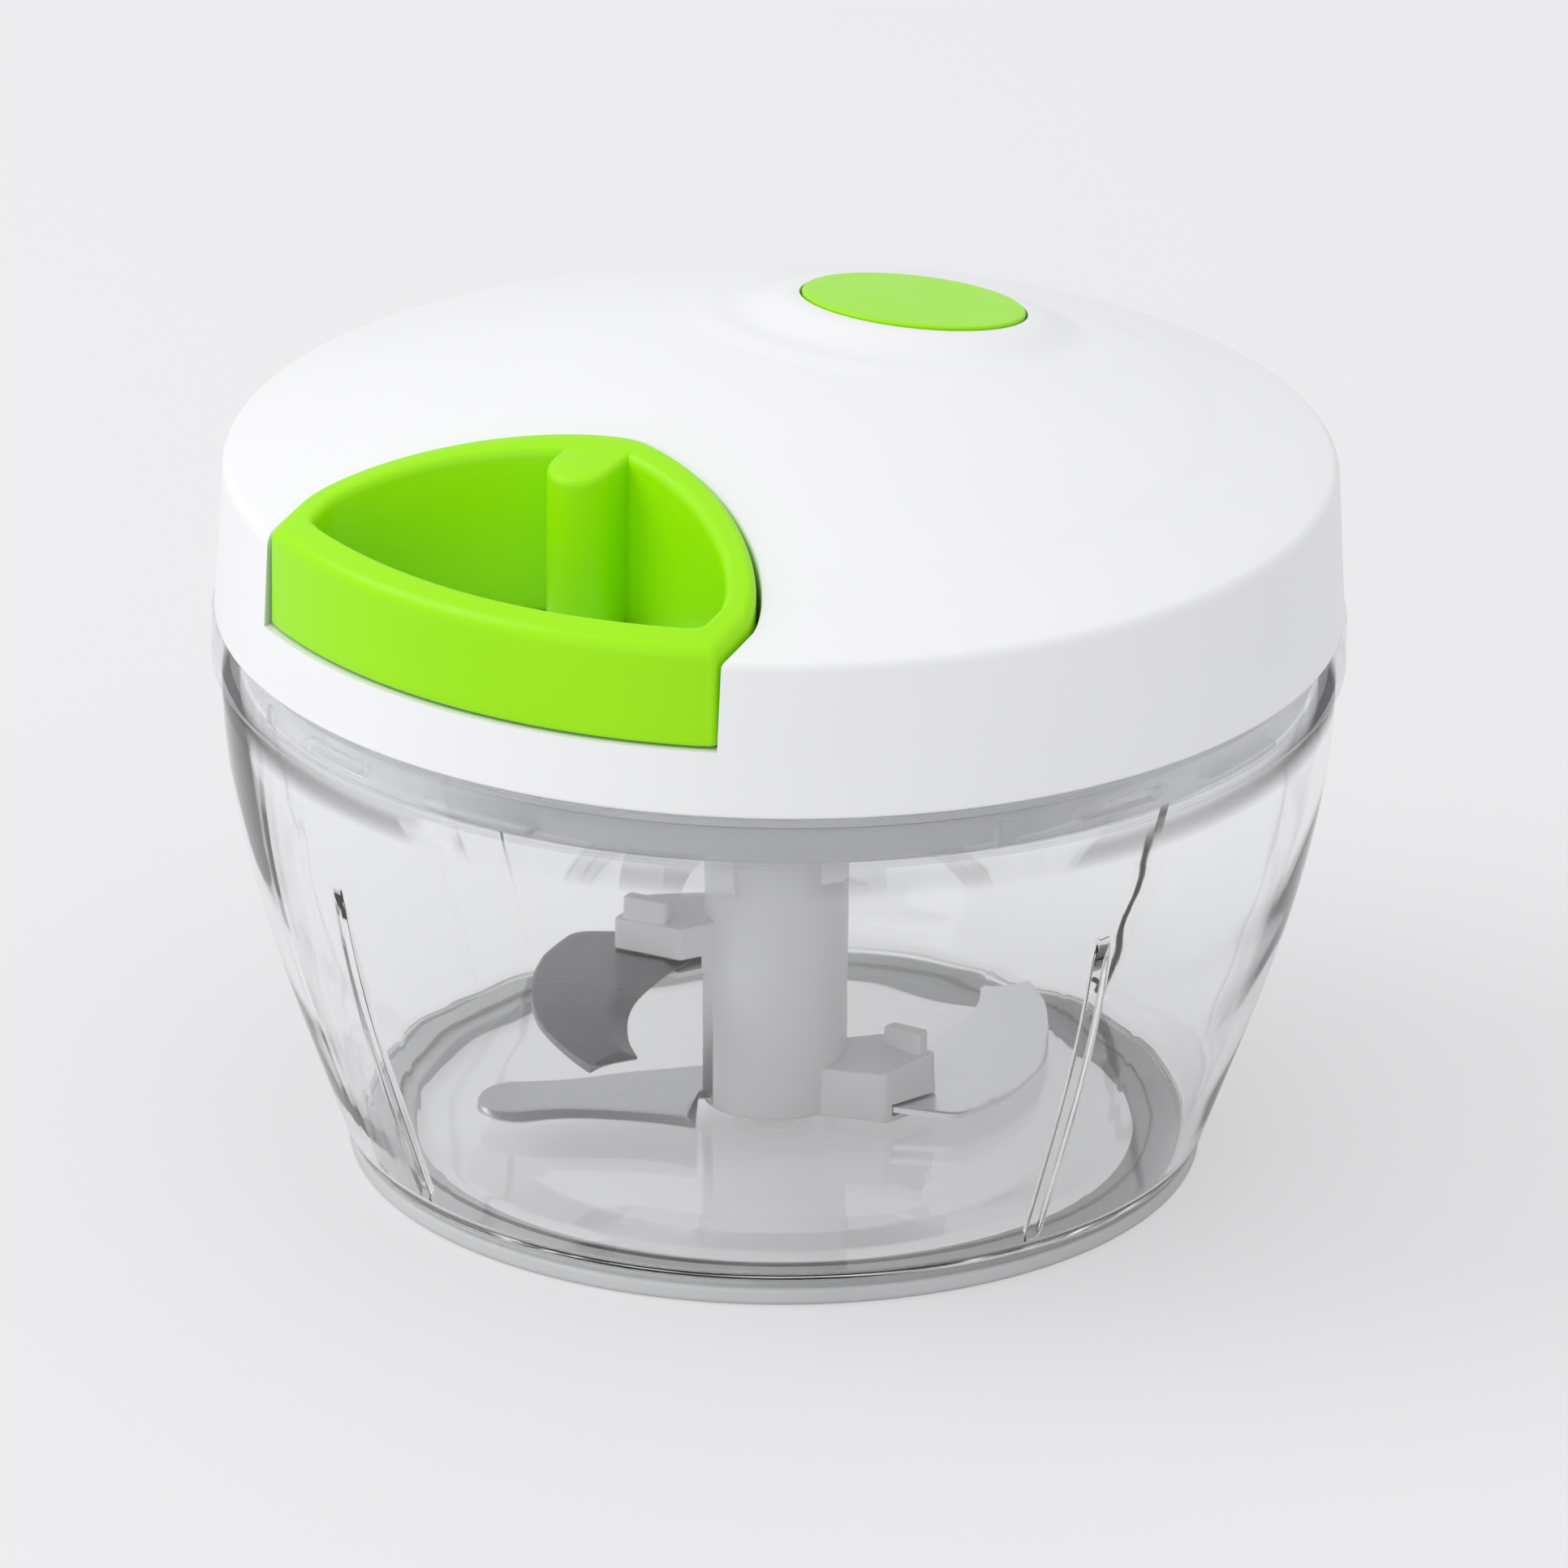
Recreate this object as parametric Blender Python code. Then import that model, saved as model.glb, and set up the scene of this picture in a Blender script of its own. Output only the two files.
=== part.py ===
"""Pull-cord food chopper: a clear bowl, a twist-on lid with a sprung cord spool, a loop handle
that lies in the lid, and a lift-out blade unit that the spool drives. Metres, +Z up; the origin
is on the bowl's axis, where the foot ring meets the table. The handle pulls out along the
direction that HANDLE_AZIMUTH gives."""

import math

import bmesh
import bpy
from mathutils import Matrix, Vector

# Clearances
FIT = 0.0003             # gap between pieces that touch
SEAT_GAP = 0.0004        # gap between the bowl's rim and the lid's edge
RUN_GAP = 0.0006         # gap round a piece that slides or turns

# Roundness
LARGE_SEGMENTS = 48      # facets round the bowl and the lid
SMALL_SEGMENTS = 24      # facets round the spool, the shaft and the disc
FINE_SEGMENTS = 16       # facets round posts and pins
SCREW_SEGMENTS = 12
AXIS_MARK = 0.0200       # drawn size of an axis

# Bowl
FOOT_HEIGHT = 0.0024     # table to the underside of the bowl
BASE_RADIUS = 0.0498
BASE_THICKNESS = 0.0020
BOWL_WALL = 0.0020
BOWL_HEIGHT = 0.0635     # underside to the top of the collar
WALL_TOP_RADIUS = 0.0642
WALL_FLARE = 1.06        # higher keeps the wall slimmer near the base
COLLAR_HEIGHT = 0.0059
COLLAR_STEP = 0.0011     # how far the collar stands out from the wall
FLOOR_FILLET = 0.0018
RIB_COUNT = 4
RIB_AZIMUTH = math.radians(35)
RIB_DEPTH = 0.0010
RIB_WIDTH = 0.0018
RIB_HEIGHT = 0.0400      # above the bowl's floor
PIN_RADIUS = 0.0020
PIN_HEIGHT = 0.0200      # above the boss
BOSS_RADIUS = 0.0042
BOSS_HEIGHT = 0.0040

# Foot ring
FOOT_WIDTH = 0.0078      # inwards from the bowl's edge
FOOT_TONGUE_WIDTH = 0.0030
FOOT_TONGUE_DEPTH = 0.0010

# Bayonet
LOCK_TURN = math.radians(25)
COLLAR_LUG_AZIMUTH = math.radians(306)
COLLAR_LUG_ARC = math.radians(10.6)
COLLAR_LUG_HEIGHT = 0.0014
COLLAR_LUG_DEPTH = 0.0011
SKIRT_LUG_ARC = math.radians(14)
SKIRT_LUG_HEIGHT = 0.0009
SKIRT_LUG_LEAD = math.radians(5.4)    # past the collar lug's middle, once locked
STOP_ARC = math.radians(1.8)
STOP_DEPTH = 0.0007
STOP_GAP = math.radians(0.5)

# Lid shell
LID_SETBACK = 0.0003     # the lid's edge inside the collar's radius
LID_SIDE_HEIGHT = 0.0183
LID_TAPER = 0.0010
LID_WALL = 0.0020
SHOULDER_FILLET = 0.0022
DOME_HEIGHT = 0.0121
POST_RADIUS = 0.0036
SCREW_INSET = 0.0130     # inwards from the lid's edge
SCREW_ANGLES = [math.radians(a) for a in (-150, -75, 75, 150)]   # from the handle's direction
SCREW_BOSS_RADIUS = 0.0034

# Disc in the lid
DISC_RADIUS = 0.0130
DISC_THICKNESS = 0.0016
DISC_PROUD = 0.0004
DISC_OFFSET = 0.0262     # from the axis, away from the handle
DISC_TILT = math.radians(9.5)
DISC_PEG_RADIUS = 0.0030
PLATEAU_RADIUS = 0.0145
PLATEAU_FOOT_RADIUS = 0.0222
PLATEAU_RISE = 0.0010    # above the dome at the disc's centre
PLATEAU_DROP = 0.0024

# Handle and its recess
HANDLE_AZIMUTH = math.radians(233)
HANDLE_HALF_WIDTH = 0.0310
HANDLE_BACK = 0.0280     # nearest point to the axis
HANDLE_STRAIGHT = 0.0500  # the sides are parallel beyond this
HANDLE_ROUNDNESS = 1.5   # exponent of the superellipse that forms the back
HANDLE_WALL = 0.0040
HANDLE_PROUD = 0.0013    # above the dome
HANDLE_EDGE = 0.0009     # chamfer of the rim
HANDLE_CORNER = 0.0010   # rounding of the two front corners
OPENING_CORNER = 0.0046  # rounding of the opening's front corners
HANDLE_LIFT = 0.0080     # underside above the lid's edge
CORD_BOSS_OFFSET = -0.0020
CORD_BOSS_WIDTH = 0.0090
CORD_BOSS_REACH = 0.0110
KNOT_RADIUS = 0.0022
TUB_WALL = 0.0018
TUB_FLOOR = 0.0016

# Lid cover and seal
COVER_THICKNESS = 0.0015
COVER_RISE = 0.0011      # plate above the top of the collar
SKIRT_DEPTH = 0.0064
SKIRT_WALL = 0.0016
BEAD_HEIGHT = 0.0003
SEAL_HEIGHT = 0.0016

# Spool, spring and cord
CORD_DIAMETER = 0.0016
CORD_PITCH = 0.00205
CORD_TURNS = 3
SPOOL_RADIUS = 0.0230
SPOOL_FLANGE = 0.0015
DRUM_RADIUS = 0.0180
DRUM_WALL = 0.0030
GROOVE_HEIGHT = 0.0100
SPOOL_RISE = 0.0024      # underside of the spool above the cover
HUB_WALL = 0.0013
HUB_HEIGHT = 0.0026
SPRING_THICKNESS = 0.00035
SPRING_HEIGHT = 0.0058
SPRING_TURNS = 6
SPRING_COVER_THICKNESS = 0.0010
GUIDE_BORE_RADIUS = 0.0012
GUIDE_WALL = 0.0009
GUIDE_FLANGE = 0.0011    # how far the guide's flange stands out from its tube
GUIDE_FLANGE_THICKNESS = 0.0008

# Drive dog
DOG_RADIUS = 0.0084
DOG_FLANGE_RADIUS = 0.0110
DOG_FLANGE_THICKNESS = 0.0014
DOG_CAVITY_RADIUS = 0.0062
DOG_CAVITY_DEPTH = 0.0042
DRIVER_CORE_RADIUS = 0.0032
DRIVER_LOBE_RADIUS = 0.0058
DRIVER_LOBES = 3
DRIVER_LOBE_ARC = math.radians(34)
DRIVER_PLAY = math.radians(6)    # free play beyond the lid's locking turn
DRIVER_LENGTH = 0.0085

# Screws and washer
SCREW_SHANK_RADIUS = 0.0014
SCREW_HEAD_RADIUS = 0.0028
SCREW_HEAD_HEIGHT = 0.0015
SCREW_LENGTH = 0.0100
WASHER_RADIUS = 0.0055
WASHER_THICKNESS = 0.0006

# Blade unit
SHAFT_RADIUS = 0.0084
SHAFT_FLOOR_GAP = 0.0008
SOCKET_DEPTH = 0.0092
BLADE_THICKNESS = 0.0009
BLADE_ROOT_RADIUS = 0.0062
UPPER_BLADE_Z = 0.0235
LOWER_BLADE_Z = 0.0062
LOWER_BLADE_TURN = math.radians(-15)
ARM_LENGTH = 0.0270      # axis to the outer edge of a hooked blade
BLADE_REACH = 0.0378     # arm's middle to the tip, across the arm
BLADE_BELLY = 0.0284     # widest point of the outer edge
BLADE_WIDTH = 0.0109
BLADE_HALF_ROOT = 0.0038
TIP_INSET = 0.0065       # tip inside the belly
HOOK_INSET = 0.0088      # hook's start inside the belly
HOOK_DROP = 0.0013       # hook's start below the tip
HOOK_FALL = 0.0034       # hook's end below the tip
HOOK_OVERHANG = 0.0011   # hook's end past the blade's width
HOLLOW_SHARE = 0.63      # how far along the blade the hollow is deepest
HEEL_RADIUS = 0.0112     # axis to the heel of a hooked blade
HEEL_HEIGHT = 0.0063     # heel across the arm
SHORT_BLADE_LENGTH = 0.0345
SHORT_HEEL = 0.0135      # width of the short blade at the shaft
SHORT_HOLLOW = 0.0006    # depth of its hollow
SHORT_SHOULDER = 0.0024  # its widest part, out from the shaft
BRACKET_LENGTH = 0.0190  # axis to the bracket's outer corner
BRACKET_CORNER = 0.0023  # outer corner across the arm
BRACKET_SIDE = 0.0145    # axis to the end of its straight side
BRACKET_HEIGHT = 0.0039  # above the blade
BRACKET_LIP = 0.0007     # below the blade
BRACKET_CHEEK = 0.0008   # beside the blade's arm
TAB_LENGTH = 0.0055
TAB_WIDTH = 0.0018
TAB_INSET = 0.0005       # inside the bracket's sloping side
TAB_HEIGHT = 0.0077      # above the blade's underside

# Heights that follow
FLOOR_Z = FOOT_HEIGHT + BASE_THICKNESS
COLLAR_TOP = FOOT_HEIGHT + BOWL_HEIGHT
COLLAR_BOTTOM = COLLAR_TOP - COLLAR_HEIGHT
LEDGE_Z = COLLAR_BOTTOM + FIT
COVER_Z = COLLAR_TOP + COVER_RISE
COVER_TOP = COVER_Z + COVER_THICKNESS
SKIRT_Z = COVER_Z - SKIRT_DEPTH
LID_Z = COLLAR_TOP + SEAT_GAP
SHOULDER_Z = LID_Z + LID_SIDE_HEIGHT
LID_TOP = SHOULDER_Z + DOME_HEIGHT
HANDLE_Z = LID_Z + HANDLE_LIFT
TUB_Z = HANDLE_Z - FIT
SPOOL_Z = COVER_TOP + SPOOL_RISE
GROOVE_Z = SPOOL_Z + SPOOL_FLANGE
GROOVE_TOP = GROOVE_Z + GROOVE_HEIGHT
SPOOL_TOP = GROOVE_TOP + SPOOL_FLANGE
CORD_Z = GROOVE_Z + CORD_DIAMETER + CORD_PITCH * CORD_TURNS
POST_Z = SPOOL_Z - FIT
WASHER_Z = POST_Z - FIT - WASHER_THICKNESS
DOG_Z = SPOOL_Z - FIT - DOG_FLANGE_THICKNESS
SHAFT_Z = FLOOR_Z + SHAFT_FLOOR_GAP
SHAFT_TOP = COVER_Z - 2 * RUN_GAP
DRIVER_TOP = SHAFT_TOP + FIT

# Radii that follow
FOOT_INNER_RADIUS = BASE_RADIUS - FOOT_WIDTH
COLLAR_RADIUS = WALL_TOP_RADIUS + COLLAR_STEP
COLLAR_INNER = COLLAR_RADIUS - BOWL_WALL
COLLAR_LUG_RADIUS = COLLAR_INNER - COLLAR_LUG_DEPTH
LID_RADIUS = COLLAR_RADIUS - LID_SETBACK
SHOULDER_RADIUS = LID_RADIUS - LID_TAPER
SCREW_CIRCLE_RADIUS = LID_RADIUS - SCREW_INSET
SKIRT_RADIUS = COLLAR_LUG_RADIUS - RUN_GAP
SKIRT_LUG_RADIUS = COLLAR_INNER - FIT
CORD_PATH_RADIUS = DRUM_RADIUS + FIT + CORD_DIAMETER / 2
BORE_RADIUS = POST_RADIUS + FIT
PIN_HOLE_RADIUS = PIN_RADIUS + FIT
BLADE_SWEEP = BASE_RADIUS - BOWL_WALL - RIB_DEPTH - 2 * RUN_GAP


# Materials
def material(name, colour, roughness, metallic=0.0, transmission=0.0):
    """A Principled material with one colour."""
    made = bpy.data.materials.new(name)
    made.use_nodes = True
    shader = made.node_tree.nodes["Principled BSDF"]
    shader.inputs["Base Color"].default_value = (*colour, 1.0)
    shader.inputs["Roughness"].default_value = roughness
    shader.inputs["Metallic"].default_value = metallic
    shader.inputs["Transmission Weight"].default_value = transmission
    made.diffuse_color = (*colour, 1.0)
    return made


# Mesh helpers
def new_object(name, shape, finish=None, parent=None, smooth=35.0):
    """Links a bmesh as a named object, shaded smooth except at edges sharper than smooth degrees."""
    mesh = bpy.data.meshes.new(name)
    bmesh.ops.recalc_face_normals(shape, faces=shape.faces)
    shape.to_mesh(mesh)
    shape.free()
    mesh.shade_smooth()
    mesh.set_sharp_from_angle(angle=math.radians(smooth))
    made = bpy.data.objects.new(name, mesh)
    bpy.context.scene.collection.objects.link(made)
    if finish:
        mesh.materials.append(finish)
    made.parent = parent
    return made


def empty(name, parent=None, z=0.0, turn=0.0):
    """An axis that pieces hang on, at a height on the bowl's axis."""
    made = bpy.data.objects.new(name, None)
    made.empty_display_size = AXIS_MARK
    made.location = (0, 0, z)
    made.rotation_euler = (0, 0, turn)
    made.parent = parent
    bpy.context.scene.collection.objects.link(made)
    return made


def lathe(profile, segments):
    """A closed profile of (radius, z) turned about Z. Points on the axis become poles."""
    shape = bmesh.new()
    rings = []
    for radius, z in profile:
        if radius < 1e-7:
            rings.append([shape.verts.new((0, 0, z))] * segments)
            continue
        turn = [2 * math.pi * k / segments for k in range(segments)]
        rings.append([shape.verts.new((radius * math.cos(t), radius * math.sin(t), z)) for t in turn])
    for lower, upper in zip(rings, rings[1:] + rings[:1]):
        for k in range(segments):
            corners = [lower[k], lower[k - 1], upper[k - 1], upper[k]]
            unique = list(dict.fromkeys(corners))
            if len(unique) > 2:
                shape.faces.new(unique)
    return shape


def prism(outline, low, high):
    """An outline of (x, y) points extruded from z = low to z = high; high may be a function."""
    shape = bmesh.new()
    height = high if callable(high) else lambda x, y: high
    bottom = [shape.verts.new((x, y, low)) for x, y in outline]
    top = [shape.verts.new((x, y, height(x, y))) for x, y in outline]
    shape.faces.new(bottom[::-1])
    shape.faces.new(top)
    for k in range(len(outline)):
        shape.faces.new([bottom[k - 1], bottom[k], top[k], top[k - 1]])
    return shape


def box(x_range, y_range, z_range):
    """A block between three pairs of limits."""
    (x0, x1), (y0, y1) = x_range, y_range
    return prism([(x0, y0), (x1, y0), (x1, y1), (x0, y1)], *z_range)


def arc(centre, radius, start, end, steps):
    """Points on a circle from one angle to another, both ends included."""
    angles = [start + (end - start) * k / steps for k in range(steps + 1)]
    return [(centre[0] + radius * math.cos(a), centre[1] + radius * math.sin(a)) for a in angles]


def three_point_arc(first, middle, last, steps):
    """Points on the circle through three points, from the first to the last."""
    a, b, c = (Vector(p) for p in (first, middle, last))
    area = 2 * ((b - a).x * (c - a).y - (b - a).y * (c - a).x)
    ab, ac = (b - a).length_squared, (c - a).length_squared
    centre = a + Vector(((c - a).y * ab - (b - a).y * ac, (b - a).x * ac - (c - a).x * ab)) / area
    start = math.atan2(a.y - centre.y, a.x - centre.x)
    sweep = (a - centre).angle_signed(c - centre)
    through = (a - centre).angle_signed(b - centre)
    if sweep * through < 0:
        sweep -= math.copysign(2 * math.pi, sweep)
    return arc(centre, (a - centre).length, start, start - sweep, steps)


def ring_sector(inner, outer, low, high, middle_angle, width, steps=4):
    """A block bent round the axis, width radians wide about middle_angle."""
    start, end = middle_angle - width / 2, middle_angle + width / 2
    outline = arc((0, 0), outer, start, end, steps) + arc((0, 0), inner, end, start, steps)
    return prism(outline, low, high)


def join(target, tool, operation="UNION"):
    """Adds a live Boolean to target, whose tool is hidden in renders."""
    tool.hide_render = True
    tool.display_type = "WIRE"
    step = target.modifiers.new(tool.name, "BOOLEAN")
    step.operation = operation
    step.solver = "EXACT"
    step.object = tool
    return target


def cut(target, tool):
    return join(target, tool, "DIFFERENCE")


def tube(name, points, diameter, finish, parent, resolution=1):
    """A round cord along hand-placed or computed points, with closed ends."""
    curve = bpy.data.curves.new(name, "CURVE")
    curve.dimensions = "3D"
    curve.bevel_depth = diameter / 2
    curve.bevel_resolution = resolution
    curve.use_fill_caps = True
    spline = curve.splines.new("POLY")
    spline.points.add(len(points) - 1)
    for slot, point in zip(spline.points, points):
        slot.co = (*point, 1.0)
    curve.materials.append(finish)
    made = bpy.data.objects.new(name, curve)
    made.parent = parent
    bpy.context.scene.collection.objects.link(made)
    return made


# Shapes that several pieces share
def wall_radius(z):
    """Outer radius of the bowl's wall at a height: a quarter sine from the base to the collar."""
    share = min(max((z - FOOT_HEIGHT) / (COLLAR_BOTTOM - FOOT_HEIGHT), 0.0), 1.0)
    spread = WALL_TOP_RADIUS - BASE_RADIUS
    return BASE_RADIUS + spread * math.sin(math.pi / 2 * share**WALL_FLARE)


def dome_z(radius):
    """Height of the lid's outer surface: a shallow paraboloid that ends at the shoulder."""
    return SHOULDER_Z + DOME_HEIGHT * (1 - (radius / SHOULDER_RADIUS) ** 2)


def lid_section(offset, low, rings=8, steps=3):
    """The lid's outer line from the axis to its edge, moved inwards by offset."""
    side = SHOULDER_RADIUS - offset
    curve = [(side * k / rings, dome_z(side * k / rings) - offset) for k in range(rings)]
    turn_in = SHOULDER_FILLET + offset / 2
    corner = Vector((side, dome_z(side) - offset))
    inner = Vector((side - turn_in, dome_z(side - turn_in) - offset))
    lower = Vector((side, corner.y - SHOULDER_FILLET))
    for k in range(steps + 1):
        t = k / steps
        curve.append(tuple(inner * (1 - t) ** 2 + corner * (2 * t * (1 - t)) + lower * t * t))
    curve.append((LID_RADIUS - offset, low))
    return curve


def handle_outline(margin, front_radius, corner, steps=9):
    """The handle's plan in its own frame, margin outside (or, if negative, inside) its side.
    The back is half a superellipse, the sides are parallel and the front follows the lid.
    A circle of the corner's radius touches each side and the front."""
    half = HANDLE_HALF_WIDTH + margin
    depth = HANDLE_STRAIGHT - HANDLE_BACK + margin
    power = 2 / HANDLE_ROUNDNESS
    back = []
    for k in range(2 * steps + 1):
        angle = math.pi / 2 * (k / steps - 1)
        x = HANDLE_STRAIGHT - depth * abs(math.cos(angle)) ** power
        back.append((x, half * math.copysign(abs(math.sin(angle)) ** power, angle)))
    across = half - corner
    along = math.sqrt((front_radius - corner) ** 2 - across**2)
    swing = math.atan2(across, along)
    left = arc((along, across), corner, math.pi / 2, swing, 3)
    front = arc((0, 0), front_radius, swing, -swing, steps)
    right = arc((along, -across), corner, -swing, -math.pi / 2, 3)
    return back + left + front[1:-1] + right


def top_above(offset):
    """A function for a prism's top that follows the dome, offset above it."""
    def height(x, y):
        return dome_z(math.hypot(x, y)) + offset
    return height


# Bowl body
def make_bowl(finish, axis):
    """The turned bowl with its collar, ribs, pin boss and the lugs that hold the lid."""
    count = 6
    rise = COLLAR_BOTTOM - FOOT_HEIGHT
    heights = [FOOT_HEIGHT + rise * (k / count) ** 1.2 for k in range(count + 1)]
    tongue = FOOT_TONGUE_WIDTH / 2 + FIT
    groove = (FOOT_INNER_RADIUS + BASE_RADIUS) / 2
    groove_top = FOOT_HEIGHT + FOOT_TONGUE_DEPTH
    bottom = [(0, FOOT_HEIGHT), (groove - tongue, FOOT_HEIGHT), (groove - tongue, groove_top),
              (groove + tongue, groove_top), (groove + tongue, FOOT_HEIGHT)]
    outside = [(wall_radius(z), z) for z in heights]
    outside[0] = (BASE_RADIUS - FOOT_TONGUE_DEPTH / 2, FOOT_HEIGHT)
    outside.insert(1, (BASE_RADIUS, FOOT_HEIGHT + FOOT_TONGUE_DEPTH / 2))
    collar = [(COLLAR_RADIUS, COLLAR_BOTTOM + COLLAR_STEP / 2), (COLLAR_RADIUS, COLLAR_TOP),
              (COLLAR_INNER, COLLAR_TOP), (COLLAR_INNER, LEDGE_Z)]
    low = FLOOR_Z + FLOOR_FILLET
    inside = [(wall_radius(z) - BOWL_WALL, z) for z in reversed(heights) if z > low + FLOOR_FILLET]
    side = wall_radius(low) - BOWL_WALL
    fillet = arc((side - FLOOR_FILLET, low), FLOOR_FILLET, 0, -math.pi / 2, 2)
    boss = [(BOSS_RADIUS, FLOOR_Z), (BOSS_RADIUS, FLOOR_Z + BOSS_HEIGHT),
            (PIN_HOLE_RADIUS, FLOOR_Z + BOSS_HEIGHT), (PIN_HOLE_RADIUS, FLOOR_Z + FIT),
            (0, FLOOR_Z + FIT)]
    profile = bottom + outside + collar + inside + fillet + boss
    bowl = new_object("bowl", lathe(profile, LARGE_SEGMENTS), finish, axis)
    for k in range(RIB_COUNT):
        turn = 2 * math.pi * k / RIB_COUNT
        join(bowl, make_bowl_rib(f"bowl_rib_tool_{k + 1}", RIB_AZIMUTH + turn, axis))
        lug_low = SKIRT_Z + SKIRT_LUG_HEIGHT + FIT
        lug_top = lug_low + COLLAR_LUG_HEIGHT
        lug = ring_sector(COLLAR_LUG_RADIUS, COLLAR_INNER + BOWL_WALL / 2, lug_low, lug_top,
                          COLLAR_LUG_AZIMUTH + turn, COLLAR_LUG_ARC)
        join(bowl, new_object(f"collar_lug_tool_{k + 1}", lug, parent=axis))
        stop_angle = stop_azimuth() + turn
        stop = ring_sector(COLLAR_INNER - STOP_DEPTH, COLLAR_INNER + BOWL_WALL / 2, SKIRT_Z,
                           lug_top, stop_angle, STOP_ARC, 1)
        join(bowl, new_object(f"collar_stop_tool_{k + 1}", stop, parent=axis))
    return bowl


def skirt_lug_azimuth():
    """Where a skirt lug rests before the lid is turned to lock."""
    return COLLAR_LUG_AZIMUTH - SKIRT_LUG_LEAD + LOCK_TURN


def stop_azimuth():
    """The stop that a skirt lug meets once the lid has turned through LOCK_TURN."""
    return skirt_lug_azimuth() - LOCK_TURN - SKIRT_LUG_ARC / 2 - STOP_ARC / 2 - STOP_GAP


def make_bowl_rib(name, azimuth, axis):
    """A rib on the inside of the wall, whose inner edge follows the wall."""
    count = 6
    low, high = FLOOR_Z - BASE_THICKNESS / 2, FLOOR_Z + RIB_HEIGHT
    heights = [low + (high - low) * k / count for k in range(count + 1)]
    outer = [(wall_radius(z) - BOWL_WALL / 2, z) for z in heights]
    inner = [(wall_radius(max(z, FLOOR_Z)) - BOWL_WALL - RIB_DEPTH, z) for z in heights[:-1]]
    outline = outer + inner[::-1]
    shape = bmesh.new()
    sides = [[shape.verts.new((r, y, z)) for r, z in outline] for y in (-RIB_WIDTH / 2, RIB_WIDTH / 2)]
    shape.faces.new(sides[0])
    shape.faces.new(sides[1][::-1])
    for k in range(len(outline)):
        shape.faces.new([sides[0][k - 1], sides[0][k], sides[1][k], sides[1][k - 1]])
    bmesh.ops.rotate(shape, verts=shape.verts, matrix=Matrix.Rotation(azimuth, 3, "Z"))
    return new_object(name, shape, parent=axis)


def make_pin(finish, axis):
    """The steel pin in the bowl's boss, on which the blade unit turns."""
    low = FLOOR_Z + 2 * FIT
    high = FLOOR_Z + BOSS_HEIGHT + PIN_HEIGHT
    tip = PIN_RADIUS / 2
    profile = [(0, low), (PIN_RADIUS, low), (PIN_RADIUS, high - tip), (PIN_RADIUS - tip, high), (0, high)]
    return new_object("bowl_pin", lathe(profile, FINE_SEGMENTS), finish, axis)


def make_foot_ring(finish, axis):
    """The soft ring under the bowl, with a tongue in the bowl's groove."""
    outer = BASE_RADIUS - FIT
    middle = (FOOT_INNER_RADIUS + BASE_RADIUS) / 2
    half = FOOT_TONGUE_WIDTH / 2
    top = FOOT_HEIGHT - FIT
    edge = FIT
    profile = [(FOOT_INNER_RADIUS, 0), (outer - edge, 0), (outer, edge),
               (outer, top), (middle + half, top), (middle + half, top + FOOT_TONGUE_DEPTH),
               (middle - half, top + FOOT_TONGUE_DEPTH), (middle - half, top), (FOOT_INNER_RADIUS, top)]
    return new_object("anti_slip_ring", lathe(profile, LARGE_SEGMENTS), finish, axis)


# Blade unit
def make_shaft(finish, axis):
    """The moulded shaft: a lobed socket on top, a bore for the pin, and brackets for two blades."""
    recess = BOSS_RADIUS + RUN_GAP
    recess_top = FLOOR_Z + BOSS_HEIGHT + RUN_GAP
    bore_top = FLOOR_Z + BOSS_HEIGHT + PIN_HEIGHT + 2 * RUN_GAP
    edge = RUN_GAP
    profile = [(recess, SHAFT_Z), (SHAFT_RADIUS - edge, SHAFT_Z), (SHAFT_RADIUS, SHAFT_Z + edge),
               (SHAFT_RADIUS, SHAFT_TOP - edge), (SHAFT_RADIUS - edge, SHAFT_TOP), (0, SHAFT_TOP),
               (0, bore_top), (PIN_HOLE_RADIUS, bore_top), (PIN_HOLE_RADIUS, recess_top),
               (recess, recess_top)]
    shaft = new_object("blade_shaft", lathe(profile, SMALL_SEGMENTS), finish, axis)
    socket = lobed_outline(DRIVER_CORE_RADIUS + FIT, DRIVER_LOBE_RADIUS + FIT,
                           DRIVER_PLAY, LOCK_TURN + DRIVER_PLAY)
    socket_tool = prism(socket, SHAFT_TOP - SOCKET_DEPTH, SHAFT_TOP + RUN_GAP)
    cut(shaft, new_object("shaft_socket_tool", socket_tool, parent=axis))
    for name, height, turn in blade_places():
        low, top = height - FIT, height + BLADE_THICKNESS + FIT
        slot = box((BLADE_ROOT_RADIUS - FIT, SHAFT_RADIUS + FIT),
                   (-BLADE_HALF_ROOT - FIT, BLADE_HALF_ROOT + FIT), (low, top))
        if name != "short_blade":
            slot = prism(bracket_slot_outline(), low, top)
            block = prism(bracket_outline(), low - BRACKET_LIP, top + BRACKET_HEIGHT)
            tab = prism(tab_outline(), top + BRACKET_HEIGHT / 2, height + TAB_HEIGHT)
            for tool in (new_object(f"{name}_bracket_tool", block, parent=axis),
                         new_object(f"{name}_tab_tool", tab, parent=axis)):
                tool.rotation_euler = (0, 0, turn)
                join(shaft, tool)
        slot_tool = new_object(f"{name}_slot_tool", slot, parent=axis)
        slot_tool.rotation_euler = (0, 0, turn)
        cut(shaft, slot_tool)
    return shaft


def bracket_outline():
    """The moulding round a hooked blade's arm: a straight side, then a corner out over the blade."""
    side = BLADE_HALF_ROOT + FIT + BRACKET_CHEEK
    return [(BLADE_ROOT_RADIUS, -side), (BRACKET_SIDE, -side), (BRACKET_LENGTH, BRACKET_CORNER),
            (HEEL_RADIUS, HEEL_HEIGHT), (BLADE_ROOT_RADIUS, BLADE_HALF_ROOT)]


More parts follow.
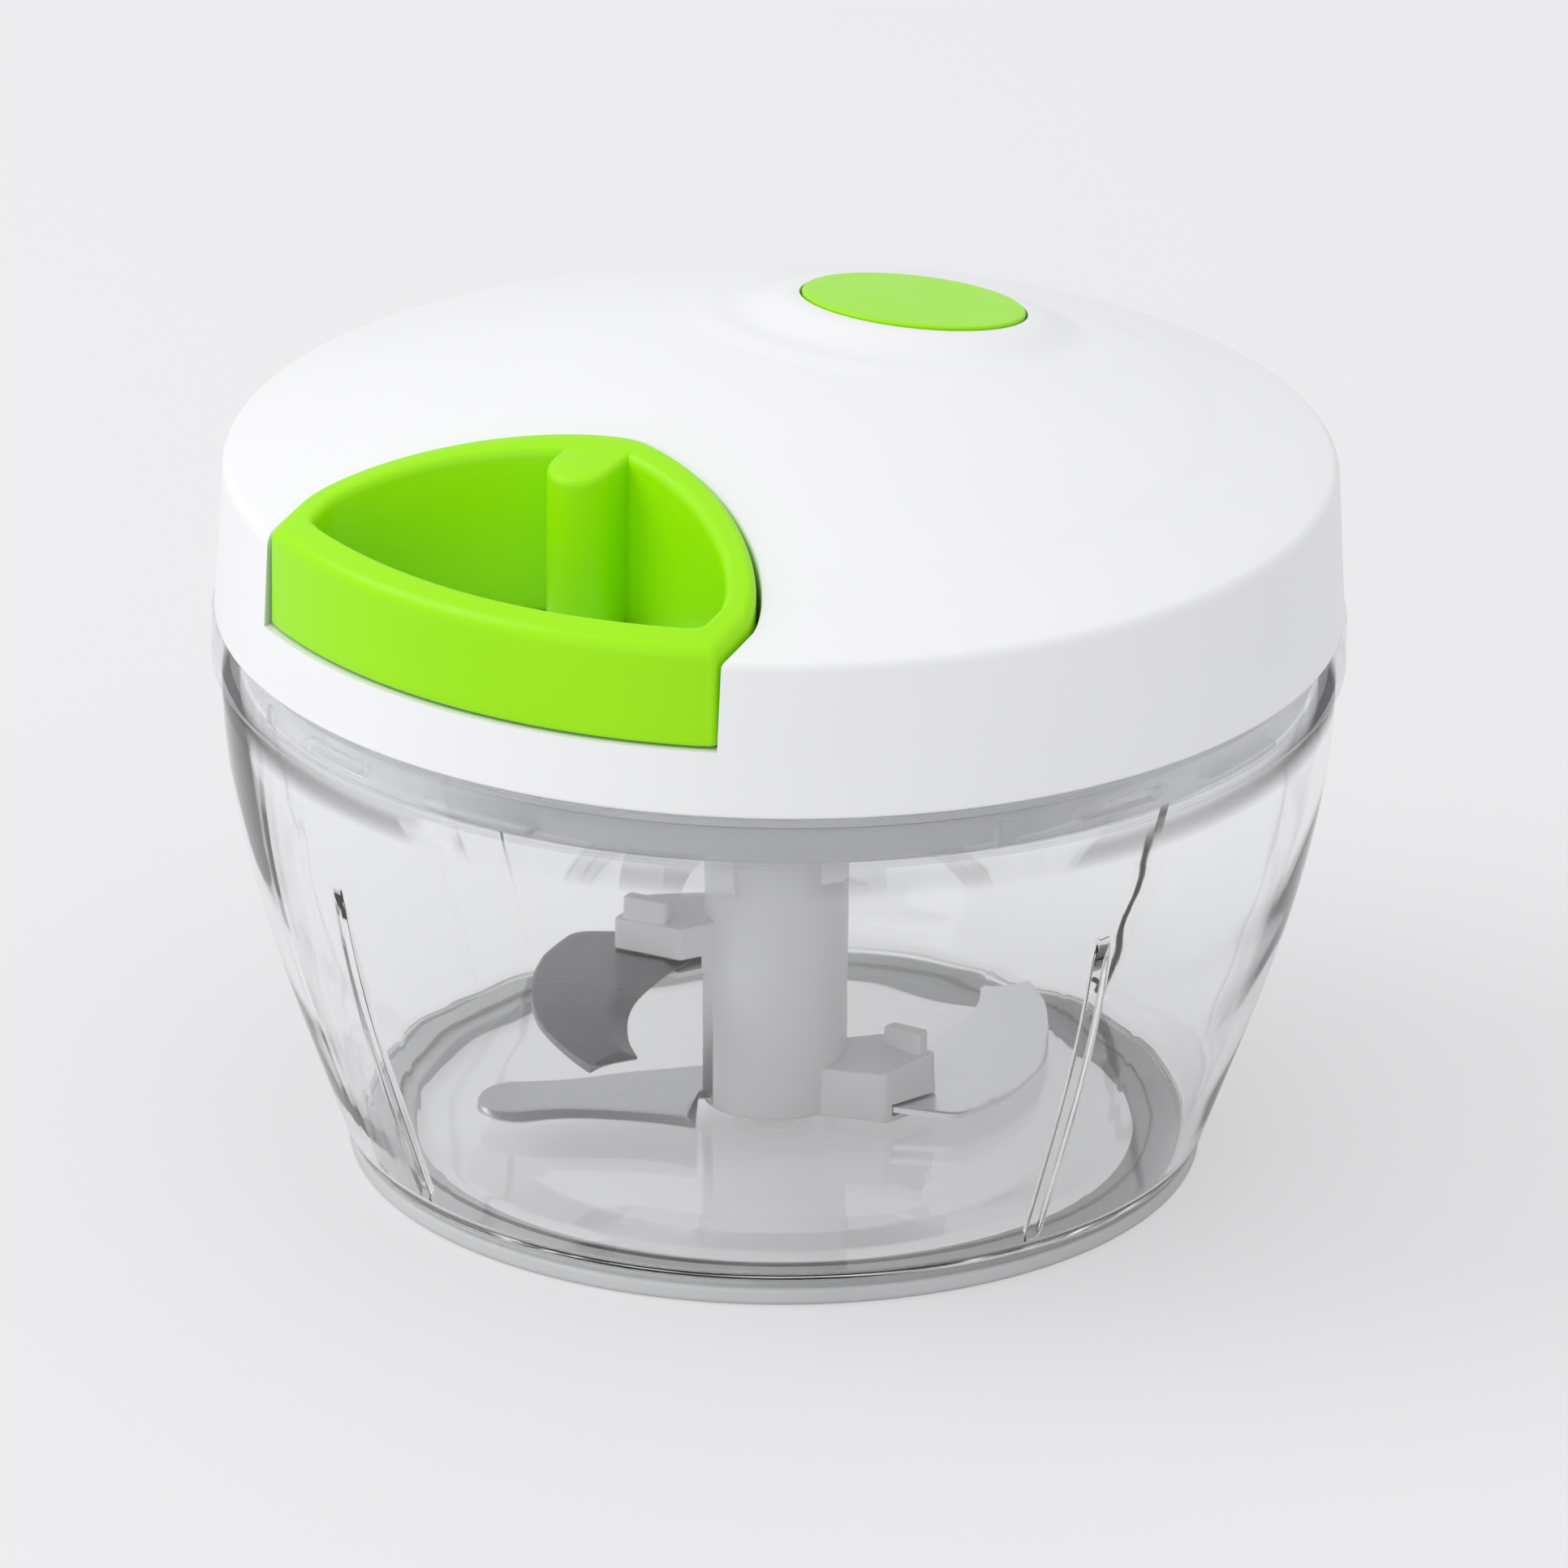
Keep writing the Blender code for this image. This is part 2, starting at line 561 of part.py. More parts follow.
def bracket_slot_outline():
    """Room for the blade's root in the shaft and for its arm in the bracket."""
    start, shaft, end = BLADE_ROOT_RADIUS - FIT, SHAFT_RADIUS + FIT, BRACKET_LENGTH + FIT
    half, wide = BLADE_HALF_ROOT + FIT, HEEL_HEIGHT + FIT
    return [(start, -half), (end, -half), (end, wide), (shaft, wide), (shaft, half), (start, half)]


def tab_outline():
    """The fin on the bracket, along the sloping side from its corner to the blade's heel."""
    corner, heel = Vector((BRACKET_LENGTH, BRACKET_CORNER)), Vector((HEEL_RADIUS, HEEL_HEIGHT))
    along = (heel - corner).normalized()
    inwards = Vector((-along.y, along.x))
    start = corner + along * 2 * TAB_INSET + inwards * TAB_INSET
    end = start + along * TAB_LENGTH
    return [tuple(p) for p in (start, end, end + inwards * TAB_WIDTH, start + inwards * TAB_WIDTH)]


def lobed_outline(core, lobe, before, after):
    """A round core with lobes, each wider than DRIVER_LOBE_ARC by before and after."""
    outline = []
    for k in range(DRIVER_LOBES):
        middle = 2 * math.pi * k / DRIVER_LOBES
        start = middle - DRIVER_LOBE_ARC / 2 - after
        end = middle + DRIVER_LOBE_ARC / 2 + before
        gap_end = middle + 2 * math.pi / DRIVER_LOBES - DRIVER_LOBE_ARC / 2 - after
        outline += arc((0, 0), lobe, start, end, 4) + arc((0, 0), core, end, gap_end, 4)
    return outline


def blade_places():
    """Name, height and direction of each blade's arm."""
    return [("upper_blade", UPPER_BLADE_Z, math.pi), ("lower_blade", LOWER_BLADE_Z, LOWER_BLADE_TURN),
            ("short_blade", LOWER_BLADE_Z, math.pi)]


def hooked_blade_outline(reach):
    """An arm that bends into a crescent: convex outer edge, hollow cutting edge, hooked tip."""
    tip = (BLADE_BELLY - TIP_INSET, reach)
    outer = three_point_arc((ARM_LENGTH, BLADE_HALF_ROOT), (BLADE_BELLY, reach / 2), tip, 10)
    hook = [(BLADE_BELLY - HOOK_INSET, reach - HOOK_DROP),
            (BLADE_BELLY - BLADE_WIDTH - HOOK_OVERHANG, reach - HOOK_FALL)]
    hollow = (BLADE_BELLY - BLADE_WIDTH, reach * HOLLOW_SHARE)
    heel = (HEEL_RADIUS, HEEL_HEIGHT)
    inner = three_point_arc(hook[-1], hollow, heel, 8)
    root = [(SHAFT_RADIUS + RUN_GAP, BLADE_HALF_ROOT), (BLADE_ROOT_RADIUS, BLADE_HALF_ROOT),
            (BLADE_ROOT_RADIUS, -BLADE_HALF_ROOT), (ARM_LENGTH - BLADE_HALF_ROOT, -BLADE_HALF_ROOT)]
    return outer + hook + inner[1:] + root


def short_blade_outline():
    """A straight blade with a hollow front edge and a round tip."""
    half = BLADE_WIDTH / 2
    shoulder = SHAFT_RADIUS + SHORT_SHOULDER
    tip = arc((SHORT_BLADE_LENGTH - half, half), half, -math.pi / 2, math.pi / 2, 6)
    hollow = (SHORT_BLADE_LENGTH * HOLLOW_SHARE, BLADE_WIDTH - SHORT_HOLLOW)
    front = three_point_arc(tip[-1], hollow, (shoulder, SHORT_HEEL), 6)
    root = [(SHAFT_RADIUS + RUN_GAP, BLADE_HALF_ROOT), (BLADE_ROOT_RADIUS, BLADE_HALF_ROOT),
            (BLADE_ROOT_RADIUS, -BLADE_HALF_ROOT), (SHAFT_RADIUS + RUN_GAP, -BLADE_HALF_ROOT)]
    return tip + front[1:] + root


def make_blades(finish, axis):
    """Three steel blades, each ground to an edge along its hollow side."""
    low_reach = math.sqrt(BLADE_SWEEP**2 - (BLADE_BELLY - TIP_INSET) ** 2)
    outlines = {"upper_blade": hooked_blade_outline(BLADE_REACH),
                "lower_blade": hooked_blade_outline(min(BLADE_REACH, low_reach)),
                "short_blade": short_blade_outline()}
    for name, height, turn in blade_places():
        shape = prism(outlines[name], height, height + BLADE_THICKNESS)
        blade = new_object(name, shape, finish, axis)
        blade.rotation_euler = (0, 0, turn)


# Seal body
def make_seal(finish, axis):
    """The flat ring that lies between the skirt and the collar."""
    inner, outer = SKIRT_RADIUS + FIT, COLLAR_INNER - FIT
    low = bead_z() + BEAD_HEIGHT + FIT
    high = low + SEAL_HEIGHT
    profile = [(inner, low), (outer, low), (outer, high), (inner, high)]
    return new_object("sealing_ring", lathe(profile, LARGE_SEGMENTS), finish, axis)


def bead_z():
    """Underside of the bead on the skirt that carries the seal."""
    return SKIRT_Z + SKIRT_LUG_HEIGHT + COLLAR_LUG_HEIGHT + 2 * FIT + BEAD_HEIGHT


# Lid body
def make_lid(finish, axis, handle_frame, disc_frame):
    """The domed shell with the handle's tub, the post, the screw bosses and the disc's seat."""
    outer = lid_section(0.0, LID_Z)
    inner = lid_section(LID_WALL, LID_Z, rings=5, steps=2)
    lid = new_object("lid_shell", lathe(outer + inner[::-1], LARGE_SEGMENTS), finish, axis)

    middle = lid_section(LID_WALL / 2, LID_Z) + [(0, LID_Z)]
    core = new_object("lid_core_tool", lathe(middle, LARGE_SEGMENTS), parent=axis)
    front = LID_RADIUS + LID_WALL
    tub_plan = handle_outline(RUN_GAP + TUB_WALL, front, HANDLE_CORNER)
    tub = prism(tub_plan, TUB_Z - TUB_FLOOR, LID_TOP)
    tub_tool = new_object("tub_tool", tub, parent=handle_frame)
    join(tub_tool, core, "INTERSECT")
    join(lid, tub_tool)

    post = screw_post(POST_RADIUS, POST_Z, LID_TOP - LID_WALL / 2)
    join(lid, new_object("post_tool", post, parent=axis))
    for k, (x, y) in enumerate(screw_places()):
        boss = screw_post(SCREW_BOSS_RADIUS, COVER_TOP + FIT, dome_z(SCREW_CIRCLE_RADIUS) - LID_WALL)
        boss_tool = new_object(f"screw_boss_tool_{k + 1}", boss, parent=handle_frame)
        boss_tool.location = (x, y, 0)
        join(lid, boss_tool)

    recess = prism(handle_outline(RUN_GAP, front, HANDLE_CORNER), TUB_Z, LID_TOP + LID_WALL)
    cut(lid, new_object("recess_tool", recess, parent=handle_frame))
    guide = guide_cutter(GUIDE_BORE_RADIUS + GUIDE_WALL + FIT)
    cut(lid, new_object("guide_hole_tool", guide, parent=handle_frame))

    slope = [(0, -LID_WALL), (PLATEAU_FOOT_RADIUS, -PLATEAU_DROP), (PLATEAU_RADIUS, 0), (0, 0)]
    plateau = lathe(slope, SMALL_SEGMENTS)
    join(lid, new_object("plateau_tool", plateau, parent=disc_frame))
    pocket_radius = DISC_RADIUS + FIT
    pocket_floor = DISC_PROUD - DISC_THICKNESS - FIT
    peg_hole = DISC_PEG_RADIUS + FIT
    section = [(0, -3 * LID_WALL), (peg_hole, -3 * LID_WALL), (peg_hole, pocket_floor),
               (pocket_radius, pocket_floor), (pocket_radius, LID_WALL), (0, LID_WALL)]
    pocket = lathe(section, SMALL_SEGMENTS)
    cut(lid, new_object("disc_pocket_tool", pocket, parent=disc_frame))
    return lid


def screw_places():
    """The four cover screws, in the handle's frame."""
    radius = SCREW_CIRCLE_RADIUS
    return [(radius * math.cos(a), radius * math.sin(a)) for a in SCREW_ANGLES]


def screw_post(radius, low, high):
    """A round post with a blind hole for a screw in its lower end."""
    hole = SCREW_SHANK_RADIUS + FIT
    hole_top = low + SCREW_LENGTH + FIT
    profile = [(hole, low), (radius, low), (radius, high), (0, high), (0, hole_top), (hole, hole_top)]
    return lathe(profile, FINE_SEGMENTS)


def guide_cutter(radius):
    """A round hole through the tub's back wall, along the handle's path."""
    back = HANDLE_BACK - RUN_GAP - TUB_WALL
    profile = [(0, back - FIT), (radius, back - FIT), (radius, HANDLE_BACK), (0, HANDLE_BACK)]
    shape = lathe(profile, FINE_SEGMENTS)
    lay_along_x(shape)
    return shape


def lay_along_x(shape):
    """Turns a lathed shape from the Z axis onto the cord's line, which runs along X."""
    bmesh.ops.rotate(shape, verts=shape.verts, matrix=Matrix.Rotation(math.pi / 2, 3, "Y"))
    bmesh.ops.translate(shape, verts=shape.verts, vec=(0, CORD_BOSS_OFFSET, CORD_Z))


def make_disc(finish, disc_frame):
    """The coloured disc, a snap-in cap with a peg."""
    top, low = DISC_PROUD, DISC_PROUD - DISC_THICKNESS
    edge = DISC_PROUD
    peg = low - LID_WALL
    profile = [(0, top), (DISC_RADIUS - edge, top), (DISC_RADIUS, top - edge), (DISC_RADIUS, low),
               (DISC_PEG_RADIUS, low), (DISC_PEG_RADIUS, peg), (0, peg)]
    return new_object("lid_disc", lathe(profile, SMALL_SEGMENTS), finish, disc_frame)


def make_cover(finish, axis, handle_frame):
    """The plate that closes the mechanism, with the skirt and lugs that hold it in the bowl."""
    hole = DOG_RADIUS + RUN_GAP
    inner = SKIRT_RADIUS - SKIRT_WALL
    bead = bead_z()
    reach = SKIRT_RADIUS + RUN_GAP
    flange = LID_RADIUS - LID_WALL - FIT
    bead_top = bead + BEAD_HEIGHT
    profile = [(hole, COVER_Z), (inner, COVER_Z), (inner, SKIRT_Z), (SKIRT_RADIUS, SKIRT_Z),
               (SKIRT_RADIUS, bead), (reach, bead), (reach, bead_top), (SKIRT_RADIUS, bead_top),
               (SKIRT_RADIUS, COVER_Z), (flange, COVER_Z), (flange, COVER_TOP), (hole, COVER_TOP)]
    cover = new_object("lid_cover", lathe(profile, LARGE_SEGMENTS), finish, axis)
    for k in range(RIB_COUNT):
        azimuth = skirt_lug_azimuth() + 2 * math.pi * k / RIB_COUNT
        lug = ring_sector(SKIRT_RADIUS - SKIRT_WALL / 2, SKIRT_LUG_RADIUS, SKIRT_Z + FIT / 2,
                          SKIRT_Z + SKIRT_LUG_HEIGHT, azimuth, SKIRT_LUG_ARC)
        join(cover, new_object(f"skirt_lug_tool_{k + 1}", lug, parent=axis))
    for k, (x, y) in enumerate(screw_places()):
        radius = SCREW_SHANK_RADIUS + FIT
        low, high = COVER_Z - FIT, COVER_TOP + FIT
        tool = lathe([(0, low), (radius, low), (radius, high), (0, high)], SCREW_SEGMENTS)
        made = new_object(f"cover_hole_tool_{k + 1}", tool, parent=handle_frame)
        made.location = (x, y, 0)
        cut(cover, made)
    return cover


def make_screws(finish, axis, handle_frame):
    """Four cover screws and the one that holds the spool on its post."""
    places = [(f"cover_screw_{k + 1}", place, COVER_Z - FIT, COVER_THICKNESS + FIT)
              for k, place in enumerate(screw_places())]
    places.append(("spool_screw", (0, 0), WASHER_Z - FIT, WASHER_THICKNESS + FIT))
    for name, place, head_top, grip in places:
        low, tip = head_top - SCREW_HEAD_HEIGHT, head_top + SCREW_LENGTH
        rounding = SCREW_HEAD_HEIGHT / 2
        profile = [(0, low), (SCREW_HEAD_RADIUS - rounding, low), (SCREW_HEAD_RADIUS, low + rounding),
                   (SCREW_HEAD_RADIUS, head_top), (SCREW_SHANK_RADIUS, head_top),
                   (SCREW_SHANK_RADIUS, tip - SCREW_SHANK_RADIUS), (0, tip)]
        screw = new_object(name, lathe(profile, SCREW_SEGMENTS), finish, handle_frame)
        screw.location = (*place, 0)


def make_washer(finish, axis):
    """The washer under the spool screw's head."""
    hole = SCREW_SHANK_RADIUS + FIT
    top = WASHER_Z + WASHER_THICKNESS
    profile = [(hole, WASHER_Z), (WASHER_RADIUS, WASHER_Z), (WASHER_RADIUS, top), (hole, top)]
    return new_object("spool_washer", lathe(profile, FINE_SEGMENTS), finish, axis)


def make_mainspring(finish, axis):
    """The flat steel spiral whose inner end is held by the post."""
    steps = 12 * SPRING_TURNS
    inner = POST_RADIUS + 2 * FIT
    outer = DRUM_RADIUS - DRUM_WALL - 2 * FIT - SPRING_THICKNESS
    low = GROOVE_Z + HUB_HEIGHT + FIT
    shape = bmesh.new()
    rows = []
    for k in range(steps + 1):
        angle = 2 * math.pi * SPRING_TURNS * k / steps
        radius = inner + (outer - inner) * k / steps
        row = []
        for r, z in ((radius, low), (radius + SPRING_THICKNESS, low),
                     (radius + SPRING_THICKNESS, low + SPRING_HEIGHT), (radius, low + SPRING_HEIGHT)):
            row.append(shape.verts.new((r * math.cos(angle), r * math.sin(angle), z)))
        rows.append(row)
    for first, second in zip(rows, rows[1:]):
        for j in range(4):
            shape.faces.new([first[j - 1], first[j], second[j], second[j - 1]])
    shape.faces.new(rows[0][::-1])
    shape.faces.new(rows[-1])
    return new_object("mainspring", shape, finish, axis)


def make_guide(finish, handle_frame):
    """The eyelet in the tub's back wall that the cord runs through."""
    back = HANDLE_BACK - RUN_GAP - TUB_WALL - FIT
    front = HANDLE_BACK - RUN_GAP - FIT
    tube_radius = GUIDE_BORE_RADIUS + GUIDE_WALL
    flange = tube_radius + GUIDE_FLANGE
    face = back - GUIDE_FLANGE_THICKNESS
    profile = [(GUIDE_BORE_RADIUS, face), (flange, face), (flange, back), (tube_radius, back),
               (tube_radius, front), (GUIDE_BORE_RADIUS, front)]
    shape = lathe(profile, FINE_SEGMENTS)
    lay_along_x(shape)
    return new_object("cord_guide", shape, finish, handle_frame)


# Spool body
def make_spool(finish, axis):
    """The drum with its two flanges, the well for the spring and the hub that turns on the post."""
    well = DRUM_RADIUS - DRUM_WALL
    hub = BORE_RADIUS + HUB_WALL
    hub_top = GROOVE_Z + HUB_HEIGHT
    profile = [(BORE_RADIUS, SPOOL_Z), (SPOOL_RADIUS, SPOOL_Z), (SPOOL_RADIUS, GROOVE_Z),
               (DRUM_RADIUS, GROOVE_Z), (DRUM_RADIUS, GROOVE_TOP), (SPOOL_RADIUS, GROOVE_TOP),
               (SPOOL_RADIUS, SPOOL_TOP), (well, SPOOL_TOP), (well, GROOVE_Z), (hub, GROOVE_Z),
               (hub, hub_top), (BORE_RADIUS, hub_top)]
    return new_object("spool", lathe(profile, SMALL_SEGMENTS), finish, axis)


def make_spring_cover(finish, axis):
    """The disc that keeps the spring in the spool's well."""
    low = SPOOL_TOP - SPRING_COVER_THICKNESS
    outer = DRUM_RADIUS - DRUM_WALL - FIT
    inner = BORE_RADIUS
    profile = [(inner, low), (outer, low), (outer, SPOOL_TOP), (inner, SPOOL_TOP)]
    return new_object("spring_cover", lathe(profile, SMALL_SEGMENTS), finish, axis)


def make_dog(finish, axis):
    """The lobed driver under the spool, hollow for the screw head."""
    cavity = SPOOL_Z - FIT - DOG_CAVITY_DEPTH
    top = SPOOL_Z - FIT
    profile = [(0, DRIVER_TOP), (DOG_RADIUS, DRIVER_TOP), (DOG_RADIUS, DOG_Z), (DOG_FLANGE_RADIUS, DOG_Z),
               (DOG_FLANGE_RADIUS, top), (DOG_CAVITY_RADIUS, top), (DOG_CAVITY_RADIUS, cavity), (0, cavity)]
    dog = new_object("drive_dog", lathe(profile, SMALL_SEGMENTS), finish, axis)
    outline = lobed_outline(DRIVER_CORE_RADIUS, DRIVER_LOBE_RADIUS, 0, 0)
    stub = prism(outline, DRIVER_TOP - DRIVER_LENGTH, (DRIVER_TOP + cavity) / 2)
    join(dog, new_object("driver_tool", stub, parent=axis))
    return dog


# Cord
def cord_leave():
    """The angle, in the handle's frame, at which the cord leaves the drum for the guide."""
    guide = Vector((guide_mouth(), CORD_BOSS_OFFSET))
    bearing = math.atan2(guide.y, guide.x)
    return bearing + math.acos(CORD_PATH_RADIUS / guide.length)


def guide_mouth():
    """Where the cord enters the guide, from the axis."""
    return HANDLE_BACK - RUN_GAP - TUB_WALL - FIT - GUIDE_FLANGE_THICKNESS


def along_tangent(distance):
    """A point on the cord's straight run, distance past the drum."""
    leave = cord_leave()
    start = Vector((math.cos(leave), math.sin(leave), 0)) * CORD_PATH_RADIUS
    heading = Vector((math.sin(leave), -math.cos(leave), 0))
    return start + heading * distance + Vector((0, 0, CORD_Z))


def make_cord(finish, spool_frame, handle_frame, handle_axis):
    """The cord in three lengths: round the drum, across to the guide, and into the handle."""
    per_turn = 24
    steps = per_turn * CORD_TURNS
    leave = cord_leave()
    wound = []
    for k in range(steps + 1):
        angle = leave + 2 * math.pi * (steps - k) / per_turn
        z = CORD_Z - CORD_PITCH * (steps - k) / per_turn
        spot = (CORD_PATH_RADIUS * math.cos(angle), CORD_PATH_RADIUS * math.sin(angle), z)
        wound.append(Vector(spot))
    clear = CORD_PATH_RADIUS + CORD_DIAMETER
    tail = math.sqrt(clear**2 - CORD_PATH_RADIUS**2)
    wound += [along_tangent(tail / 2), along_tangent(tail)]
    winding = tube("cord_winding", wound, CORD_DIAMETER, finish, spool_frame)
    winding.rotation_euler = (0, 0, HANDLE_AZIMUTH)
    gaps = []
    for k, here in enumerate(wound):
        gaps += [(here - next_turn).length for next_turn in wound[k + per_turn - 4:k + per_turn + 5]]
    print(f"cord winding: least gap to itself {(min(gaps) - CORD_DIAMETER) * 1000:.2f} mm")

    mouth = Vector((guide_mouth() - FIT, CORD_BOSS_OFFSET, CORD_Z))
    start = along_tangent(tail + 3 * FIT)
    bend = mouth - Vector((CORD_DIAMETER, 0, 0))
    run = []
    for k in range(7):
        t = k / 6
        run.append(start * (1 - t) ** 2 + bend * (2 * t * (1 - t)) + mouth * t * t)
    tube("cord_run", run, CORD_DIAMETER, finish, handle_frame)

    first = guide_mouth() + FIT
    last = knot_place().x - KNOT_RADIUS - FIT / 2
    lead = [Vector((first + (last - first) * k / 4, CORD_BOSS_OFFSET, CORD_Z)) for k in range(5)]
    tube("cord_lead", lead, CORD_DIAMETER, finish, handle_axis)
    shape = bmesh.new()
    bmesh.ops.create_uvsphere(shape, u_segments=10, v_segments=6, radius=KNOT_RADIUS)
    knot = new_object("cord_knot", shape, finish, handle_axis)
    knot.location = knot_place()


def knot_place():
    """Centre of the knot, in the boss's pocket."""
    return Vector((HANDLE_BACK + HANDLE_WALL + CORD_BOSS_REACH / 3, CORD_BOSS_OFFSET, CORD_Z))


# Handle body
def make_handle(finish, handle_axis):
    """The loop: a band of even width whose top follows the lid, with a boss for the cord."""
    front = SHOULDER_RADIUS
    outer = handle_outline(0.0, front, HANDLE_CORNER)
    inner = handle_outline(-HANDLE_WALL, front - HANDLE_WALL, OPENING_CORNER)
    edge = HANDLE_EDGE / HANDLE_WALL
    rise = top_above(HANDLE_PROUD)
    shape = bmesh.new()
    rows = []
    for (xo, yo), (xi, yi) in zip(outer, inner):
        def at(share):
            return xo + (xi - xo) * share, yo + (yi - yo) * share
        low, near, far = HANDLE_Z + HANDLE_EDGE, at(edge), at(1 - edge)
        section = [(*near, HANDLE_Z), (xo, yo, low), (xo, yo, rise(xo, yo) - HANDLE_EDGE),
                   (*near, rise(*near)), (*far, rise(*far)),
                   (xi, yi, rise(xi, yi) - HANDLE_EDGE), (xi, yi, low), (*far, HANDLE_Z)]
        rows.append([shape.verts.new(point) for point in section])
    for first, second in zip(rows, rows[1:] + rows[:1]):
        for j in range(len(first)):
            shape.faces.new([first[j - 1], first[j], second[j], second[j - 1]])
    handle = new_object("pull_handle", shape, finish, handle_axis)

    half = CORD_BOSS_WIDTH / 2
    back = HANDLE_BACK + HANDLE_WALL / 2
    reach = HANDLE_BACK + CORD_BOSS_REACH + FIT
    nose = arc((reach - half, CORD_BOSS_OFFSET), half, -math.pi / 2, math.pi / 2, 8)
    plan = [(back, CORD_BOSS_OFFSET + half), (back, CORD_BOSS_OFFSET - half)] + nose
    boss = prism(plan, HANDLE_Z + FIT, top_above(HANDLE_PROUD - HANDLE_EDGE))
    join(handle, new_object("cord_boss_tool", boss, parent=handle_axis))
    pocket_radius = KNOT_RADIUS + 2 * FIT
    pocket_top = CORD_Z + KNOT_RADIUS + 2 * FIT
    place = knot_place()
    low = HANDLE_Z - FIT
    section = [(0, low), (pocket_radius, low), (pocket_radius, pocket_top), (0, pocket_top)]
    pocket = lathe(section, FINE_SEGMENTS)
    pocket_tool = new_object("knot_pocket_tool", pocket, parent=handle_axis)
    pocket_tool.location = (place.x, place.y, 0)
    cut(handle, pocket_tool)
    hole_radius = CORD_DIAMETER / 2 + FIT
    start = HANDLE_BACK - FIT
    section = [(0, start), (hole_radius, start), (hole_radius, place.x), (0, place.x)]
    hole = lathe(section, SCREW_SEGMENTS)
    lay_along_x(hole)
    cut(handle, new_object("cord_hole_tool", hole, parent=handle_axis))
    return handle


def main():
    for old in list(bpy.data.objects):
        bpy.data.objects.remove(old, do_unlink=True)

    clear = material("clear_plastic", (0.90, 0.92, 0.93), 0.05, transmission=0.9)
    white = material("white_plastic", (0.87, 0.87, 0.88), 0.30)
    grey_white = material("shaft_plastic", (0.72, 0.72, 0.73), 0.35)
    green = material("green_plastic", (0.27, 0.78, 0.01), 0.32)
    steel = material("blade_steel", (0.55, 0.55, 0.56), 0.25, metallic=1.0)
    spring_steel = material("spring_steel", (0.35, 0.36, 0.38), 0.35, metallic=1.0)
    rubber = material("soft_ring", (0.80, 0.81, 0.82), 0.55)
    cord = material("white_cord", (0.85, 0.85, 0.84), 0.80)

    bowl_axis = empty("bowl_axis")
    blade_axis = empty("blade_axis", bowl_axis)
    seal_axis = empty("seal_axis", bowl_axis)
    lid_axis = empty("lid_axis", seal_axis)
    lid_front = empty("lid_front", lid_axis, turn=HANDLE_AZIMUTH)
    spool_axis = empty("spool_axis", lid_axis)
    handle_axis = empty("handle_axis", lid_front)
    disc_frame = empty("disc_frame", lid_front)
    disc_frame.location = (-DISC_OFFSET, 0, dome_z(DISC_OFFSET) + PLATEAU_RISE)
    disc_frame.rotation_euler = (0, -DISC_TILT, 0)

    make_bowl(clear, bowl_axis)
    make_pin(steel, bowl_axis)
    make_foot_ring(rubber, bowl_axis)
    make_shaft(grey_white, blade_axis)
    make_blades(steel, blade_axis)
    make_seal(rubber, seal_axis)
    make_lid(white, lid_axis, lid_front, disc_frame)
    make_disc(green, disc_frame)
    make_cover(white, lid_axis, lid_front)
    make_screws(steel, lid_axis, lid_front)
    make_washer(steel, lid_axis)
    make_mainspring(spring_steel, lid_axis)
    make_guide(steel, lid_front)
    make_spool(grey_white, spool_axis)
    make_spring_cover(grey_white, spool_axis)
    make_dog(grey_white, spool_axis)
    make_cord(cord, spool_axis, lid_front, handle_axis)
    make_handle(green, handle_axis)


main()
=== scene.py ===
import math

import bpy
import numpy as np
from mathutils import Matrix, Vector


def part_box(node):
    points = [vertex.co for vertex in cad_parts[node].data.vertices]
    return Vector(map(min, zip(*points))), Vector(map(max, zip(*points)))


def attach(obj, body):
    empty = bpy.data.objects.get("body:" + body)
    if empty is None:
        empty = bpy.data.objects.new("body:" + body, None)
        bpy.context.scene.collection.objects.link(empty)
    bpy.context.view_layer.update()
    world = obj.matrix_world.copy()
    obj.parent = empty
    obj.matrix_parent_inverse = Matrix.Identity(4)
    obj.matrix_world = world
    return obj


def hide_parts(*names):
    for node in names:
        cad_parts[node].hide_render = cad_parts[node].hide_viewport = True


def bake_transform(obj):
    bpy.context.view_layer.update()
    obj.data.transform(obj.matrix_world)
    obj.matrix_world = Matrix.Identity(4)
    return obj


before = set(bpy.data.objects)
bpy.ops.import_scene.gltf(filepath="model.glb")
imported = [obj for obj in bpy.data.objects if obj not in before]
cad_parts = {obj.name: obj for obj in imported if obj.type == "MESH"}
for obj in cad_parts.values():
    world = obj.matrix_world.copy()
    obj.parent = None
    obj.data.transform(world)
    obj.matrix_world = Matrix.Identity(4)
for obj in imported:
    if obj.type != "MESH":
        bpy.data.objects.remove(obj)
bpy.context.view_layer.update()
print("frame loaded")

fit = 0.0003            # gap between pieces that touch
runGap = 0.0006         # gap round a piece that slides or turns
handleAzimuth = math.radians(233)
frontFrame = Matrix.Rotation(handleAzimuth, 4, "Z")    # +X points the way that the handle pulls


# the photograph's camera: a long lens, a little above the rim, rolled by half a degree
camera = {"distance": 1.8757, "elevation": 0.390, "azimuth": math.radians(-1.7), "roll": -0.011,
          "target": (0.00074, 0.0, 0.04395), "lens": 372.67, "sensor": 36.0}


def makeCamera():
    turn = (Matrix.Rotation(camera["azimuth"], 4, "Z") @ Matrix.Rotation(math.pi / 2 - camera["elevation"], 4, "X")
            @ Matrix.Rotation(-camera["roll"], 4, "Z"))
    lens = bpy.data.cameras.new("camera")
    lens.lens, lens.sensor_width = camera["lens"], camera["sensor"]
    lens.clip_start, lens.clip_end = 0.01, 20.0
    made = bpy.data.objects.new("camera", lens)
    bpy.context.scene.collection.objects.link(made)
    made.matrix_world = (Matrix.Translation(camera["target"]) @ turn
                         @ Matrix.Translation((0, 0, camera["distance"])))
    bpy.context.scene.camera = made


